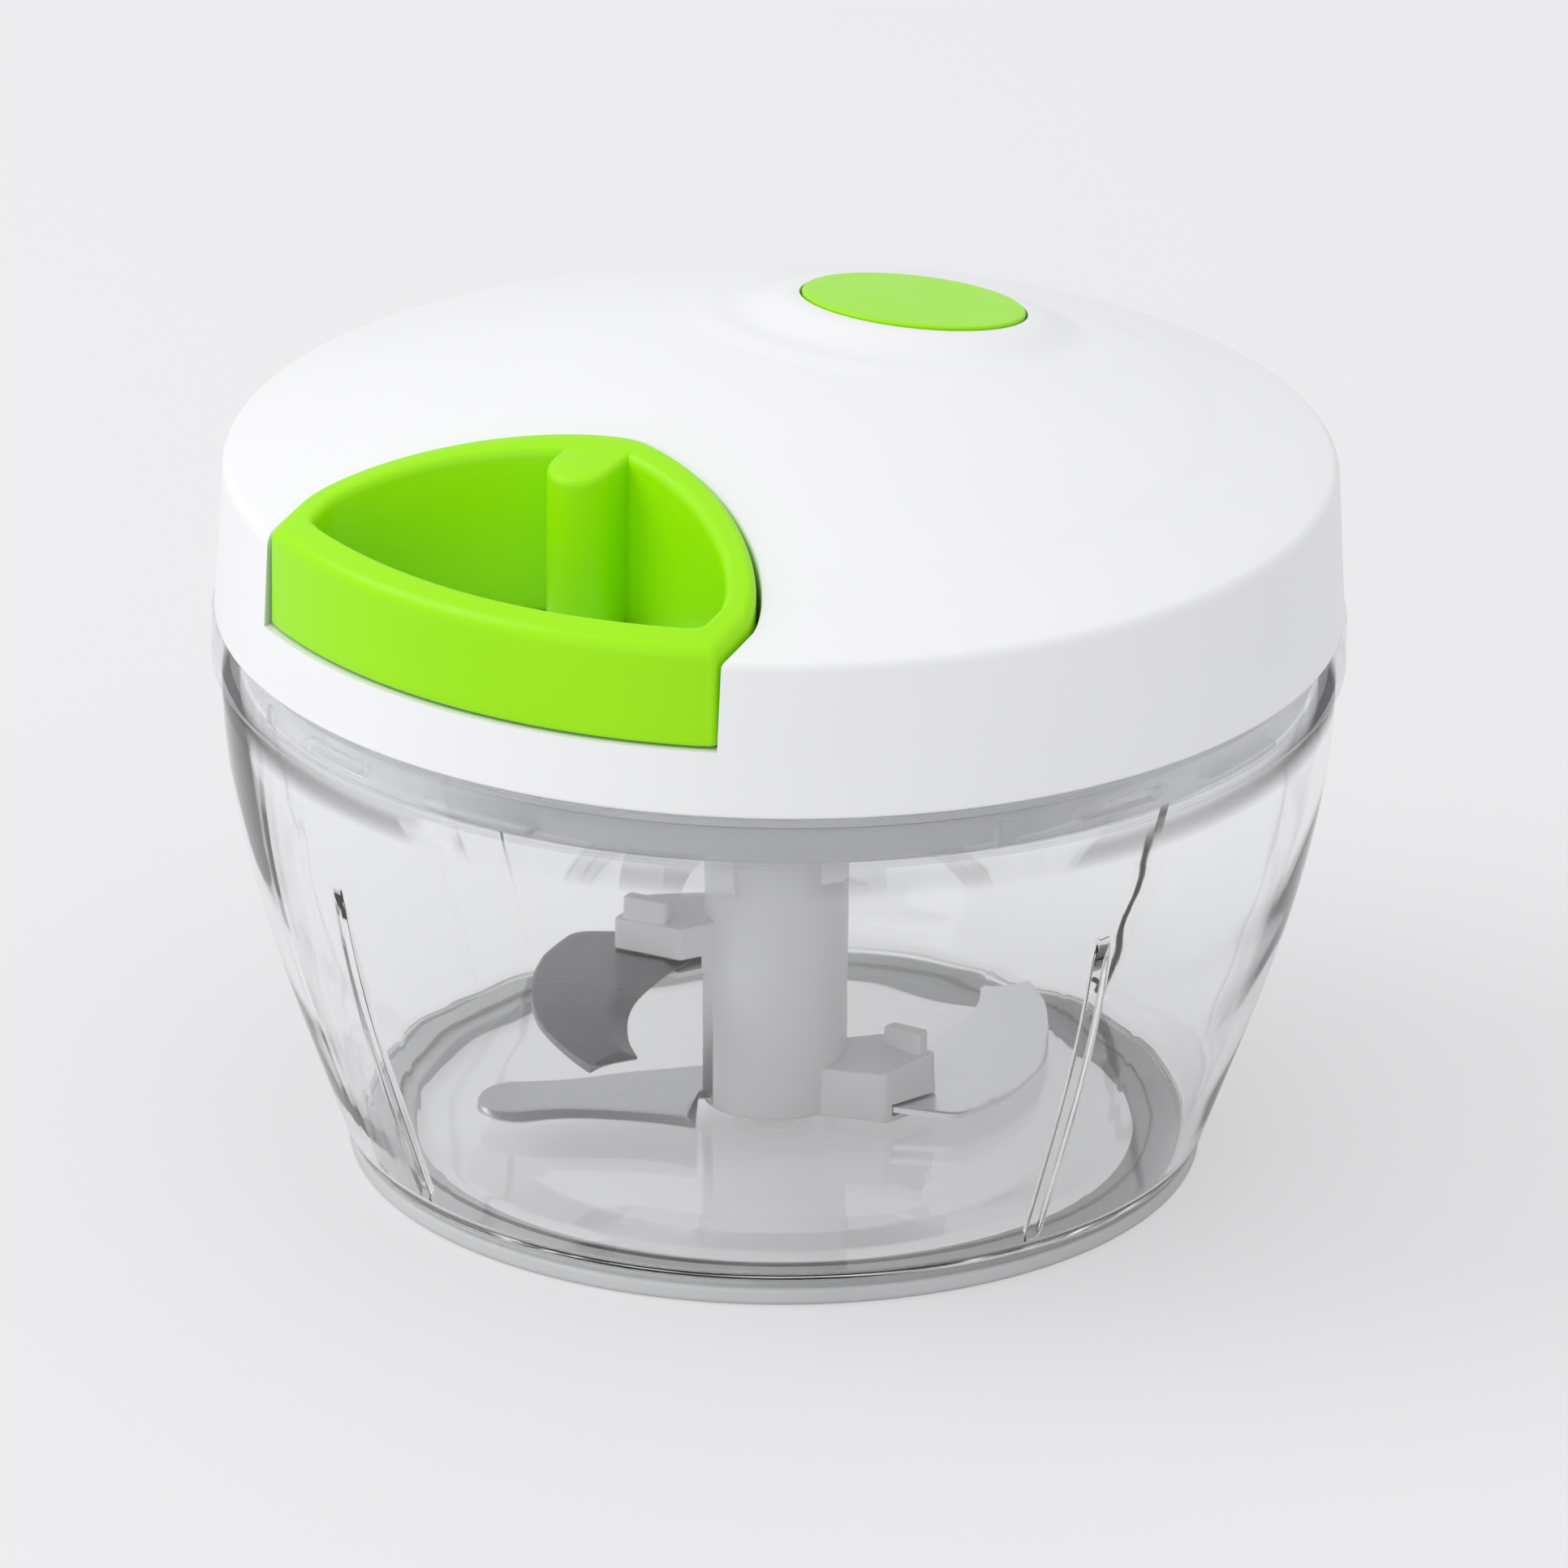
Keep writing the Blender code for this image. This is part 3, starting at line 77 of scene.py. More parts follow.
makeCamera()
print("camera placed")


# shapes

def roundCorners(corners, closed=True, steps=6):
    # corners are (x, y, radius): each one becomes an arc of its radius that touches both sides,
    # with a point a little before and after it, so that flat sides stay flat when shaded
    points = []
    for k, (x, y, radius) in enumerate(corners):
        here = np.array((x, y), float)
        if radius <= 0 or (not closed and k in (0, len(corners) - 1)):
            points.append(here)
            continue
        before = np.array(corners[k - 1][:2]) - here
        after = np.array(corners[(k + 1) % len(corners)][:2]) - here
        room = 0.49 * min(np.linalg.norm(before), np.linalg.norm(after))
        before, after = before / np.linalg.norm(before), after / np.linalg.norm(after)
        half = math.acos(np.clip(before @ after, -1, 1)) / 2
        reach = min(radius / math.tan(half), 0.8 * room)
        middle = here + (before + after) / np.linalg.norm(before + after) * reach / math.cos(half)
        start = here + before * reach - middle
        hand = math.copysign(1, before[1] * after[0] - before[0] * after[1])
        turn = np.linspace(0, math.pi - 2 * half, steps + 1) * hand
        arc = np.stack([start[0] * np.cos(turn) - start[1] * np.sin(turn),
                        start[0] * np.sin(turn) + start[1] * np.cos(turn)], -1) + middle
        lead = min(1.3 * reach, room)
        points += [here + before * lead, *arc, here + after * lead]
    return np.array(points)


def smoothStep(value, low, high):
    # 0 below low, 1 above high, and 3t^2 - 2t^3 between them
    t = np.clip((value - low) / (high - low), 0, 1)
    return t * t * (3 - 2 * t)


def turned(profile, angles):
    # x = r cos a, y = r sin a, z = z, for each profile point (r, z) and each angle a
    r, z = profile[:, 0, None], profile[:, 1, None]
    return np.stack([r * np.cos(angles), r * np.sin(angles), z + 0 * angles], -1)


def around(count):
    return np.linspace(0, 2 * math.pi, count, endpoint=False)


def gridMesh(name, grid, wrapRows=True, wrapColumns=True):
    # quads between neighbouring points of the grid; a row that is all one point gives triangles
    rows, columns = grid.shape[:2]
    index = np.arange(rows * columns).reshape(rows, columns)
    pole = np.ptp(grid, axis=1).max(1) < 1e-9
    index[pole] = index[pole][:, :1]
    right = np.roll(index, -1, 1)
    quads = np.stack([index, right, np.roll(right, -1, 0), np.roll(index, -1, 0)], -1)
    quads = quads[: rows if wrapRows else rows - 1, : columns if wrapColumns else columns - 1].reshape(-1, 4)
    low, high = quads[:, 0] == quads[:, 1], quads[:, 2] == quads[:, 3]
    fans = np.concatenate([quads[low & ~high][:, 1:], quads[high & ~low][:, :3]])
    quads = quads[~low & ~high]
    used, corners = np.unique(np.concatenate([quads.ravel(), fans.ravel()]), return_inverse=True)
    return rawMesh(name, grid.reshape(-1, 3)[used], corners, [4] * len(quads) + [3] * len(fans))


def rawMesh(name, points, corners, sizes):
    mesh = bpy.data.meshes.new(name)
    mesh.vertices.add(len(points))
    mesh.vertices.foreach_set("co", np.asarray(points, np.float32).ravel())
    mesh.loops.add(len(corners))
    mesh.loops.foreach_set("vertex_index", np.asarray(corners, np.int32).ravel())
    mesh.polygons.add(len(sizes))
    starts = np.concatenate([[0], np.cumsum(sizes)[:-1]])
    mesh.polygons.foreach_set("loop_start", starts.astype(np.int32))
    mesh.update(calc_edges=True)
    mesh.validate()
    mesh.shade_smooth()
    return mesh


def addPiece(name, mesh, matrix=None, sharp=None):
    if matrix is not None:
        mesh.transform(matrix)
    if sharp:
        mesh.set_sharp_from_angle(angle=math.radians(sharp))
    made = bpy.data.objects.new(name, mesh)
    bpy.context.scene.collection.objects.link(made)
    return made


def lathe(name, corners, count=192, steps=6, matrix=None):
    # a closed profile with rounded corners, turned about Z
    return addPiece(name, gridMesh(name, turned(roundCorners(corners, steps=steps), around(count))), matrix)


def slab(name, outline, low, high, edge, matrix=None, steps=4):
    # an outline carried from low to high, drawn in along two quarter circles at its edges, with
    # caps that close on its middle
    centre = outline.mean(0)
    a = np.linspace(0, math.pi / 2, steps + 1)
    inset = np.concatenate([edge * (1 - np.sin(a)), edge * (1 - np.cos(a))])
    height = np.concatenate([low + edge * (1 - np.cos(a)), high - edge * (1 - np.sin(a))])
    reach = np.linalg.norm(outline - centre, axis=1)
    share = 1 - inset[:, None] / reach
    flat = centre + (outline - centre) * share[..., None]
    side = np.concatenate([flat, np.repeat(height[:, None], len(outline), 1)[..., None]], -1)
    inner = np.concatenate([centre + (flat[:1] - centre) * 0.97, side[:1, :, 2:]], -1)
    outer = np.concatenate([centre + (flat[-1:] - centre) * 0.97, side[-1:, :, 2:]], -1)
    pole = np.broadcast_to(np.append(centre, 0.0), (1, len(outline), 3))
    grid = np.concatenate([pole + (0, 0, low), inner, side, outer, pole + (0, 0, high)])
    return addPiece(name, gridMesh(name, grid, wrapRows=False), matrix)


def carve(piece, tool, operation="DIFFERENCE"):
    step = piece.modifiers.new(tool.name, "BOOLEAN")
    step.operation, step.solver, step.object = operation, "EXACT", tool


def settle(piece, sharp=40):
    # the mesh becomes what the modifiers make of it, and the tools go
    bpy.context.view_layer.update()
    tools = [step.object for step in piece.modifiers if step.type == "BOOLEAN"]
    evaluated = piece.evaluated_get(bpy.context.evaluated_depsgraph_get())
    mesh = bpy.data.meshes.new_from_object(evaluated)
    piece.modifiers.clear()
    piece.data = mesh
    mesh.shade_smooth()
    mesh.set_sharp_from_angle(angle=math.radians(sharp))
    for tool in tools:
        bpy.data.objects.remove(tool)
    return piece


def arcPoints(x, y, radius, start, end, count):
    a = np.linspace(start, end, count)
    return np.stack([x + radius * np.cos(a), y + radius * np.sin(a)], -1)


def throughThree(first, middle, last, count):
    # points on the circle through three points
    (ax, ay), (bx, by), (cx, cy) = first, middle, last
    d = 2 * (ax * (by - cy) + bx * (cy - ay) + cx * (ay - by))
    a2, b2, c2 = ax**2 + ay**2, bx**2 + by**2, cx**2 + cy**2
    x = (a2 * (by - cy) + b2 * (cy - ay) + c2 * (ay - by)) / d
    y = (a2 * (cx - bx) + b2 * (ax - cx) + c2 * (bx - ax)) / d
    start, through, end = (math.atan2(p[1] - y, p[0] - x) for p in (first, middle, last))
    span = (end - start) % (2 * math.pi)
    if (through - start) % (2 * math.pi) > span:
        span -= 2 * math.pi
    return arcPoints(x, y, math.hypot(ax - x, ay - y), start, start + span, count)


def tubeGrid(path, radius, sides):
    # rings square to the path, whose sides are kept level by the world's Z axis; a
    # pole closes each end
    tangent = np.gradient(path, axis=0)
    tangent /= np.linalg.norm(tangent, axis=1, keepdims=True)
    up = np.array((0.0, 0.0, 1.0)) + 0 * path
    across = np.cross(up, tangent)
    across /= np.linalg.norm(across, axis=1, keepdims=True)
    normal = np.cross(tangent, across)
    a = around(sides)[None, :, None]
    rings = path[:, None] + radius * (across[:, None] * np.cos(a) + normal[:, None] * np.sin(a))
    caps = [np.broadcast_to(path[k], (1, sides, 3)) for k in (0, -1)]
    return np.concatenate([caps[0], rings, caps[1]])


# materials

class Value:
    # a socket whose + - * / add Math nodes, with a number or another socket on either side
    def __init__(self, finish, socket):
        self.finish, self.socket = finish, socket

    def maths(self, operation, first, second=0.0):
        return self.finish.node("Math", {"operation": operation}, {0: first, 1: second})

    def __add__(self, other):
        return self.maths("ADD", self, other)

    def __sub__(self, other):
        return self.maths("SUBTRACT", self, other)

    def __mul__(self, other):
        return self.maths("MULTIPLY", self, other)

    def __truediv__(self, other):
        return self.maths("DIVIDE", self, other)

    __radd__, __rmul__ = __add__, __mul__


class Finish:
    # one material; node() adds any node, its settings first and then its sockets' values or links
    def __init__(self, name, **principled):
        self.material = bpy.data.materials.new(name)
        self.material.use_nodes = True
        self.tree = self.material.node_tree
        self.shader = self.tree.nodes["Principled BSDF"]
        self.fill(self.shader, {key.replace("_", " "): value for key, value in principled.items()})

    def fill(self, node, sockets):
        for key, value in sockets.items():
            socket = node.inputs[key]
            if isinstance(value, Value):
                self.tree.links.new(value.socket, socket)
            elif isinstance(value, tuple) and socket.type == "RGBA":
                socket.default_value = (*value, 1.0)
            else:
                socket.default_value = value

    def node(self, kind, settings=None, sockets=None, output=0):
        made = self.tree.nodes.new("ShaderNode" + kind)
        for key, value in (settings or {}).items():
            setattr(made, key, value)
        self.fill(made, sockets or {})
        return Value(self, made.outputs[output])

    def place(self, scale=(1, 1, 1)):
        spot = self.node("TexCoord", output="Object")
        return self.node("Mapping", sockets={"Vector": spot, "Scale": scale})

    def noise(self, scale, detail=2.0, stretch=(1, 1, 1)):
        return self.node("TexNoise", sockets={"Vector": self.place(stretch), "Scale": scale, "Detail": detail})

    def spread(self, value, low, high, fromLow=0.3, fromHigh=0.7):
        # a noise value carried to a range
        return self.node("MapRange", sockets={"Value": value, "From Min": fromLow, "From Max": fromHigh,
                                              "To Min": low, "To Max": high})

    def mixColour(self, share, first, second):
        return self.node("Mix", {"data_type": "RGBA"}, {"Factor": share, 6: first, 7: second}, output=2)

    def bump(self, height, depth):
        return self.node("Bump", sockets={"Height": height, "Distance": depth, "Strength": 1.0})

    def set(self, **principled):
        self.fill(self.shader, {key.replace("_", " "): value for key, value in principled.items()})
        return self


def mouldedPlastic(name, colour, shade, roughness, peel, uneven=0.045, **principled):
    # a moulded surface: faint clouding of the colour, uneven gloss and a fine peel in the bump
    finish = Finish(name, **principled)
    cloud = finish.noise(38.0, 3.0)
    grain = finish.noise(900.0, 2.0)
    colour = finish.mixColour(finish.spread(cloud, 0.0, 1.0), colour, shade)
    gloss = finish.spread(finish.noise(160.0, 4.0), roughness - uneven, roughness + uneven)
    height = finish.noise(260.0, 1.0) + grain * 0.35
    return finish.set(Base_Color=colour, Roughness=gloss, Normal=finish.bump(height, peel))


def skirtPaintedShade():
    # the cover's skirt, with painted shade: a darker colour in its middle than towards its sides, standing for the
    # shadow that the lid's overhang casts on it
    finish = Finish("skirtPaintedShade", IOR=1.5)
    side = Value(finish, finish.node("SeparateXYZ", sockets={0: finish.place()}).socket.node.outputs[0])
    # painted shade: the colour goes from dark in the middle to pale at the sides across |x|
    share = finish.spread(side.maths("ABSOLUTE", side), 0.0, 1.0, 0.026, 0.052)
    colour = finish.mixColour(share, (0.54, 0.54, 0.545), (0.84, 0.84, 0.845))
    gloss = finish.spread(finish.noise(160.0, 4.0), 0.30, 0.34)
    return finish.set(Base_Color=colour, Roughness=gloss, Normal=finish.bump(finish.noise(260.0), 0.000001))


def clearPlastic():
    # clear moulding: lamps pass it, and slow waves in the bump bend what is seen through it
    finish = Finish("clearPlastic", Transmission_Weight=1.0, IOR=1.46)
    waves = finish.noise(22.0, 1.0, stretch=(1, 1, 2.5))
    smear = finish.spread(finish.noise(70.0, 3.0), 0.012, 0.035)
    tint = finish.mixColour(finish.noise(30.0), (0.988, 0.990, 0.992), (0.978, 0.981, 0.984))
    finish.set(Base_Color=tint, Roughness=smear, Normal=finish.bump(waves, 0.0010))
    ray = finish.node("LightPath", output="Is Shadow Ray")
    lamp = finish.node("BsdfTransparent", sockets={"Color": (0.975, 0.978, 0.98)})
    height = Value(finish, finish.node("SeparateXYZ", sockets={0: finish.place()}).socket.node.outputs[2])
    collar = finish.spread(height, 0.0, 0.75, 0.0560, 0.0590)     # the thick collar bends less
    share = ray.maths("MAXIMUM", ray, collar)
    mixed = finish.node("MixShader", sockets={0: share, 1: Value(finish, finish.shader.outputs[0]), 2: lamp})
    output = finish.tree.nodes["Material Output"]
    finish.tree.links.new(mixed.socket, output.inputs["Surface"])
    return finish


def brushedSteel(name, colour, shade, roughness, along, depth=0.00001, fine=700.0, uneven=0.075):
    # metal with fine lines along one direction
    finish = Finish(name, Metallic=1.0)
    lines = finish.noise(fine, 3.0, stretch=along)
    stain = finish.noise(60.0, 2.0)
    gloss = finish.spread(lines, roughness - uneven, roughness + uneven)
    colour = finish.mixColour(finish.spread(stain, 0, 1), colour, shade)
    return finish.set(Base_Color=colour, Roughness=gloss, Normal=finish.bump(lines, depth))


def bladeSteel():
    # stamped steel with painted light: by a per-blade attribute, the upper blade keeps a darker steel as painted
    # shade and the two low ones are paler as a painted reflection
    finish = brushedSteel("bladeSteel", (0.28, 0.28, 0.29), (0.255, 0.255, 0.265), 0.30, (0.05, 1, 1), 0.0000004,
                          2400.0, 0.03)
    shadedSteel = Value(finish, finish.shader.inputs["Base Color"].links[0].from_socket)
    paintedLight = finish.node("Attribute", {"attribute_name": "paintedLight"}, output="Fac")
    return finish.set(Base_Color=finish.mixColour(paintedLight, shadedSteel, (0.80, 0.80, 0.81)))


finishes = {
    "clear_plastic": clearPlastic(),
    "soft_ring": mouldedPlastic("softSilicone", (0.62, 0.625, 0.63), (0.58, 0.585, 0.59), 0.50, 0.00002, IOR=1.41),
    "white_plastic": mouldedPlastic("whitePlastic", (0.88, 0.88, 0.885), (0.868, 0.868, 0.874), 0.29, 0.0000006,
                                    0.015, IOR=1.5),
    "skirt_painted_shade": skirtPaintedShade(),
    "shaft_plastic": mouldedPlastic("satinPlastic", (0.87, 0.87, 0.875), (0.85, 0.85, 0.855), 0.36, 0.000010,
                                    IOR=1.5),
    "green_plastic": mouldedPlastic("greenPlastic", (0.35, 0.83, 0.001), (0.335, 0.805, 0.001), 0.32, 0.000003,
                                    IOR=1.33),
    "blade_steel": bladeSteel(),
    "steel": brushedSteel("plainSteel", (0.62, 0.62, 0.63), (0.56, 0.56, 0.57), 0.28, (1, 1, 0.1)),
    "spring_steel": brushedSteel("springSteel", (0.30, 0.31, 0.34), (0.24, 0.26, 0.31), 0.34, (1, 1, 0.08)),
}


def cordFinish():
    # two sets of strands that cross: waves round the cord and along it, with painted shade darkening the gaps between
    # the strands
    finish = Finish("braidedCord", Sheen_Weight=0.3)
    finish.shader.inputs["Sheen Roughness"].default_value = 0.5
    spot = finish.node("SeparateXYZ", sockets={0: finish.node("UVMap", {"uv_map": "weave"})})
    along, about = spot, Value(finish, spot.socket.node.outputs[1])
    plaits, strands = 8, 5200.0                    # strands round the cord, and radians of wave to a metre
    waves = [spot.maths("SINE", along * strands + about * (hand * plaits * 2 * math.pi)) for hand in (-1, 1)]
    weave = spot.maths("MAXIMUM", *waves)
    share = finish.spread(weave, 0.0, 1.0, 0.0, 1.0)
    colour = finish.mixColour(share, (0.62, 0.62, 0.60), (0.86, 0.86, 0.85))
    gloss = finish.spread(finish.noise(900.0), 0.7, 0.85)
    return finish.set(Base_Color=colour, Roughness=gloss, Normal=finish.bump(weave, 0.00012))


finishes["cord"] = cordFinish()
print("materials made")


def dress(piece, body, slotName, *nodes, finish=None):
    # the finish, the body that the piece rides on and the CAD nodes that it stands for
    piece.data.materials.clear()
    piece.data.materials.append(finishes[finish or slotName].material)
    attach(piece, body)
    if nodes:
        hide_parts(*nodes)
    return piece


# bowl

bowl = {"foot": 0.0024, "height": 0.0635, "baseRadius": 0.0498, "topRadius": 0.0642, "flare": 1.06, "wall": 0.0020,
        "floor": 0.0020, "floorFillet": 0.0014, "edgeDrop": 0.0005, "stepRadius": 0.0375, "stepHalf": 0.004,
        "collarHeight": 0.0059, "collarStep": 0.0011, "ringInner": 0.0420,
        "grooveRadius": 0.0459, "grooveHalf": 0.0018, "grooveDepth": 0.0010,
        "bossRadius": 0.0042, "bossHeight": 0.0040, "pinRadius": 0.0020, "pinHeight": 0.0200,
        "ribAzimuth": math.radians(35), "ribTop": 0.0434, "ribWidth": 0.0018, "ribDepth": 0.0010,
        "lugAzimuth": math.radians(306), "lugLength": 0.0117, "lugHeight": 0.0014, "lugMiddle": 0.0625,
        "lugDepth": 0.0011, "lugEdge": 0.00018, "stopAzimuth": math.radians(292.2), "stopWidth": 0.0019,
        "stopDepth": 0.0007, "stopTop": 0.0636}
floorTop = bowl["foot"] + bowl["floor"]
rimTop = bowl["foot"] + bowl["height"]
collarLow = rimTop - bowl["collarHeight"]
collarRadius = bowl["topRadius"] + bowl["collarStep"]
collarInner = collarRadius - bowl["wall"]


def wallRadius(z):
    # a quarter sine from the base's radius to the collar's, with the height's share raised to flare
    share = np.clip((z - bowl["foot"]) / (collarLow - bowl["foot"]), 0, 1) ** bowl["flare"]
    return bowl["baseRadius"] + (bowl["topRadius"] - bowl["baseRadius"]) * np.sin(math.pi / 2 * share)


def makeBowl():
    low, wall = bowl["foot"], bowl["wall"]
    groove, half, deep = bowl["grooveRadius"], bowl["grooveHalf"], bowl["grooveDepth"]
    under = [(0, low, 0), (groove - half, low, 0.0002), (groove - half, low + deep, 0.0002),
             (groove + half, low + deep, 0.0002), (groove + half, low, 0.0002),
             (bowl["baseRadius"] - 0.0004, low, 0.0007)]
    rise = low + 0.0012 + (collarLow - low - 0.0012) * np.linspace(0, 1, 30)
    outside = [(wallRadius(z), z, 0) for z in rise[:-1]]
    collar = [(wallRadius(collarLow), collarLow, 0.0005), (collarRadius, collarLow + 0.0006, 0.0005),
              (collarRadius, rimTop, 0.0006)]
    outer = roundCorners(under + outside + collar, closed=False)
    ledge = collarLow + fit
    slope = wallRadius(ledge) - wall
    fall = ledge - 0.0008 + (floorTop + 0.0014 - ledge + 0.0008) * np.linspace(0, 1, 34)
    inside = [(wallRadius(z) - wall, z, 0) for z in fall]
    edge, step, stepHalf = floorTop - bowl["edgeDrop"], bowl["stepRadius"], bowl["stepHalf"]
    bossTop, bore = floorTop + bowl["bossHeight"], bowl["pinRadius"] + fit
    floor = [(wallRadius(edge) - wall, edge, bowl["floorFillet"]), (step + stepHalf, edge, 0.02),
             (step - stepHalf, floorTop, 0.02), (bowl["bossRadius"], floorTop, 0.0008),
             (bowl["bossRadius"], bossTop, 0.0004), (bore, bossTop, 0.0003), (bore, floorTop + fit, 0),
             (0, floorTop + fit, 0)]
    mouth = [(collarInner, rimTop, 0.0006), (collarInner, bowl["stopTop"] + 0.0001, 0)]
    levels = [bowl["lugMiddle"] + side * bowl["lugHeight"] / 2 + k * bowl["lugEdge"]
              for side in (-1, 1) for k in (-1, 1)]                # where the lugs begin and end
    levels = np.union1d(np.linspace(ledge + 0.0005, bowl["stopTop"], 18), levels)[::-1]
    band = [(collarInner, z, 0) for z in levels]
    seat = [(collarInner, ledge, 0.0003), (slope, ledge, 0.0003)]
    inner = roundCorners([(collarRadius, rimTop, 0)] + mouth + band + seat + inside + floor, closed=False)[1:]
    profile = np.concatenate([outer, inner])
    quarter = np.concatenate([np.linspace(0, math.pi / 2, 40)[:-1],
                              bowl["ribAzimuth"] + np.radians(np.linspace(-1.5, 1.5, 21)),
                              bowl["lugAzimuth"] - 1.5 * math.pi + np.radians(np.linspace(-6, 6, 33)),
                              bowl["stopAzimuth"] - 1.5 * math.pi + np.radians(np.linspace(-1.4, 1.4, 13))])
    quarter = np.unique(np.round(quarter % (math.pi / 2), 5))
    angles = np.concatenate([quarter + k * math.pi / 2 for k in range(4)])
    r, z = profile[:, :1], profile[:, 1:]
    within = (np.arange(len(profile)) >= len(outer))[:, None]
    fold = math.pi / 2

    def offset(azimuth):
        # how far round the wall a point is from the nearest of four evenly spaced features
        return ((angles - azimuth + fold / 2) % fold - fold / 2) * r

    def mask(distance, edge):
        return 1 - smoothStep(distance, -edge, edge)

    rib = mask(np.abs(offset(bowl["ribAzimuth"])) - bowl["ribWidth"] / 2, 0.00022)
    rib = rib * mask(z - bowl["ribTop"], 0.0004) * (z > floorTop + 0.0006)
    r0 = wallRadius(z) - wall
    onWall = within & (z < ledge - 0.0009) & (np.abs(r - r0) < 0.0004)
    side = (bowl["lugLength"] - bowl["lugHeight"]) / 2
    along = np.maximum(np.abs(offset(bowl["lugAzimuth"])) - side, 0)
    lug = mask(np.hypot(along, z - bowl["lugMiddle"]) - bowl["lugHeight"] / 2, bowl["lugEdge"])
    stop = mask(np.abs(offset(bowl["stopAzimuth"])) - bowl["stopWidth"] / 2, 0.0003)
    stop = stop * mask(z - bowl["stopTop"] + 0.0003, 0.0002)
    onCollar = within & (z > ledge + 0.0003) & (z < bowl["stopTop"] + 0.0001)
    moved = r - np.where(onWall, rib * bowl["ribDepth"], 0)
    moved = moved - np.where(onCollar, np.maximum(lug * bowl["lugDepth"], stop * bowl["stopDepth"]), 0)
    grid = np.stack([moved * np.cos(angles), moved * np.sin(angles), z + 0 * angles], -1)
    return addPiece("bowlBody", gridMesh("bowlBody", grid))


dress(makeBowl(), "bowl", "clear_plastic", "bowl")


def makeFootRing():
    outer, inner = bowl["baseRadius"] - fit, bowl["ringInner"]
    low, top, tongue = 0.0, bowl["foot"] - fit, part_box("anti_slip_ring")[1].z
    half = bowl["grooveHalf"] - fit
    middle = bowl["grooveRadius"]
    corners = [(inner, low, 0.0007), (outer, low, 0.0008), (outer, top, 0.0005), (middle + half, top, 0.0001),
               (middle + half, tongue, 0.0002), (middle - half, tongue, 0.0002), (middle - half, top, 0.0001),
               (inner, top, 0.0005)]
    return lathe("antiSlipRing", corners)


dress(makeFootRing(), "bowl", "soft_ring", "anti_slip_ring")


def makePin():
    low, high = (corner.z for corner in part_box("bowl_pin"))
    radius = bowl["pinRadius"]
    return lathe("bowlPin", [(0, low, 0), (radius, low, 0.0002), (radius, high, 0.0012), (0, high, 0)], 48)


dress(makePin(), "bowl", "steel", "bowl_pin")
print("bowl made")


# blade unit

shaft = {"radius": 0.0084, "low": 0.0052, "top": 0.0658, "socketDepth": 0.0092, "bracketLength": 0.0190,
         "bracketCorner": 0.0023, "bracketSide": 0.0145, "bracketHeight": 0.0039, "lip": 0.0007, "cheek": 0.0008,
         "tabLength": 0.0055, "tabWidth": 0.0018, "tabInset": 0.0005, "tabHeight": 0.0077}
blade = {"thickness": 0.0009, "rootRadius": 0.0062, "halfRoot": 0.0038, "armLength": 0.0270, "belly": 0.0284,
         "width": 0.0109, "reach": 0.0378, "tipInset": 0.0065, "hookInset": 0.0088, "hookDrop": 0.0013,
         "hookFall": 0.0026, "hookOverhang": 0.0011, "hollowShare": 0.63, "heel": (0.0112, 0.0063),
         "shortLength": 0.0345, "shortHeel": 0.0135, "shortHollow": 0.0006, "shortShoulder": 0.0010,
         "upper": 0.0235, "upperTrim": 0.0022, "lower": 0.0062, "lowerTurn": math.radians(-15)}
driver = {"core": 0.0032, "lobe": 0.0058, "lobes": 3, "arc": math.radians(34), "play": math.radians(6),
          "lockTurn": math.radians(25), "length": 0.0085}


def lobed(angles, core, lobe, before, after, edge=math.radians(3)):
    # the radius steps from the core's to a lobe's over a few degrees, three times round
    fold = 2 * math.pi / driver["lobes"]
    a = (angles + fold / 2) % fold - fold / 2
    rise = smoothStep(a, -driver["arc"] / 2 - after - edge, -driver["arc"] / 2 - after)
    drop = 1 - smoothStep(a, driver["arc"] / 2 + before, driver["arc"] / 2 + before + edge)
    return core + (lobe - core) * rise * drop


def lobedPost(name, radii, low, high, edge):
    angles = around(len(radii))
    a = np.linspace(0, math.pi / 2, 4)
    inset = np.concatenate([[1], edge * (1 - np.sin(a)), edge * (1 - np.cos(a)), [1]])
    height = np.concatenate([[low], low + edge * (1 - np.cos(a)), high - edge * (1 - np.sin(a)), [high]])
    r = np.maximum(radii - inset[:, None], 0)
    return addPiece(name, gridMesh(name, np.stack([r * np.cos(angles), r * np.sin(angles),
                                                   height[:, None] + 0 * r], -1), wrapRows=False))


def bladePlaces():
    return [("upper_blade", blade["upper"], math.pi), ("lower_blade", blade["lower"], blade["lowerTurn"]),
            ("short_blade", blade["lower"], math.pi)]


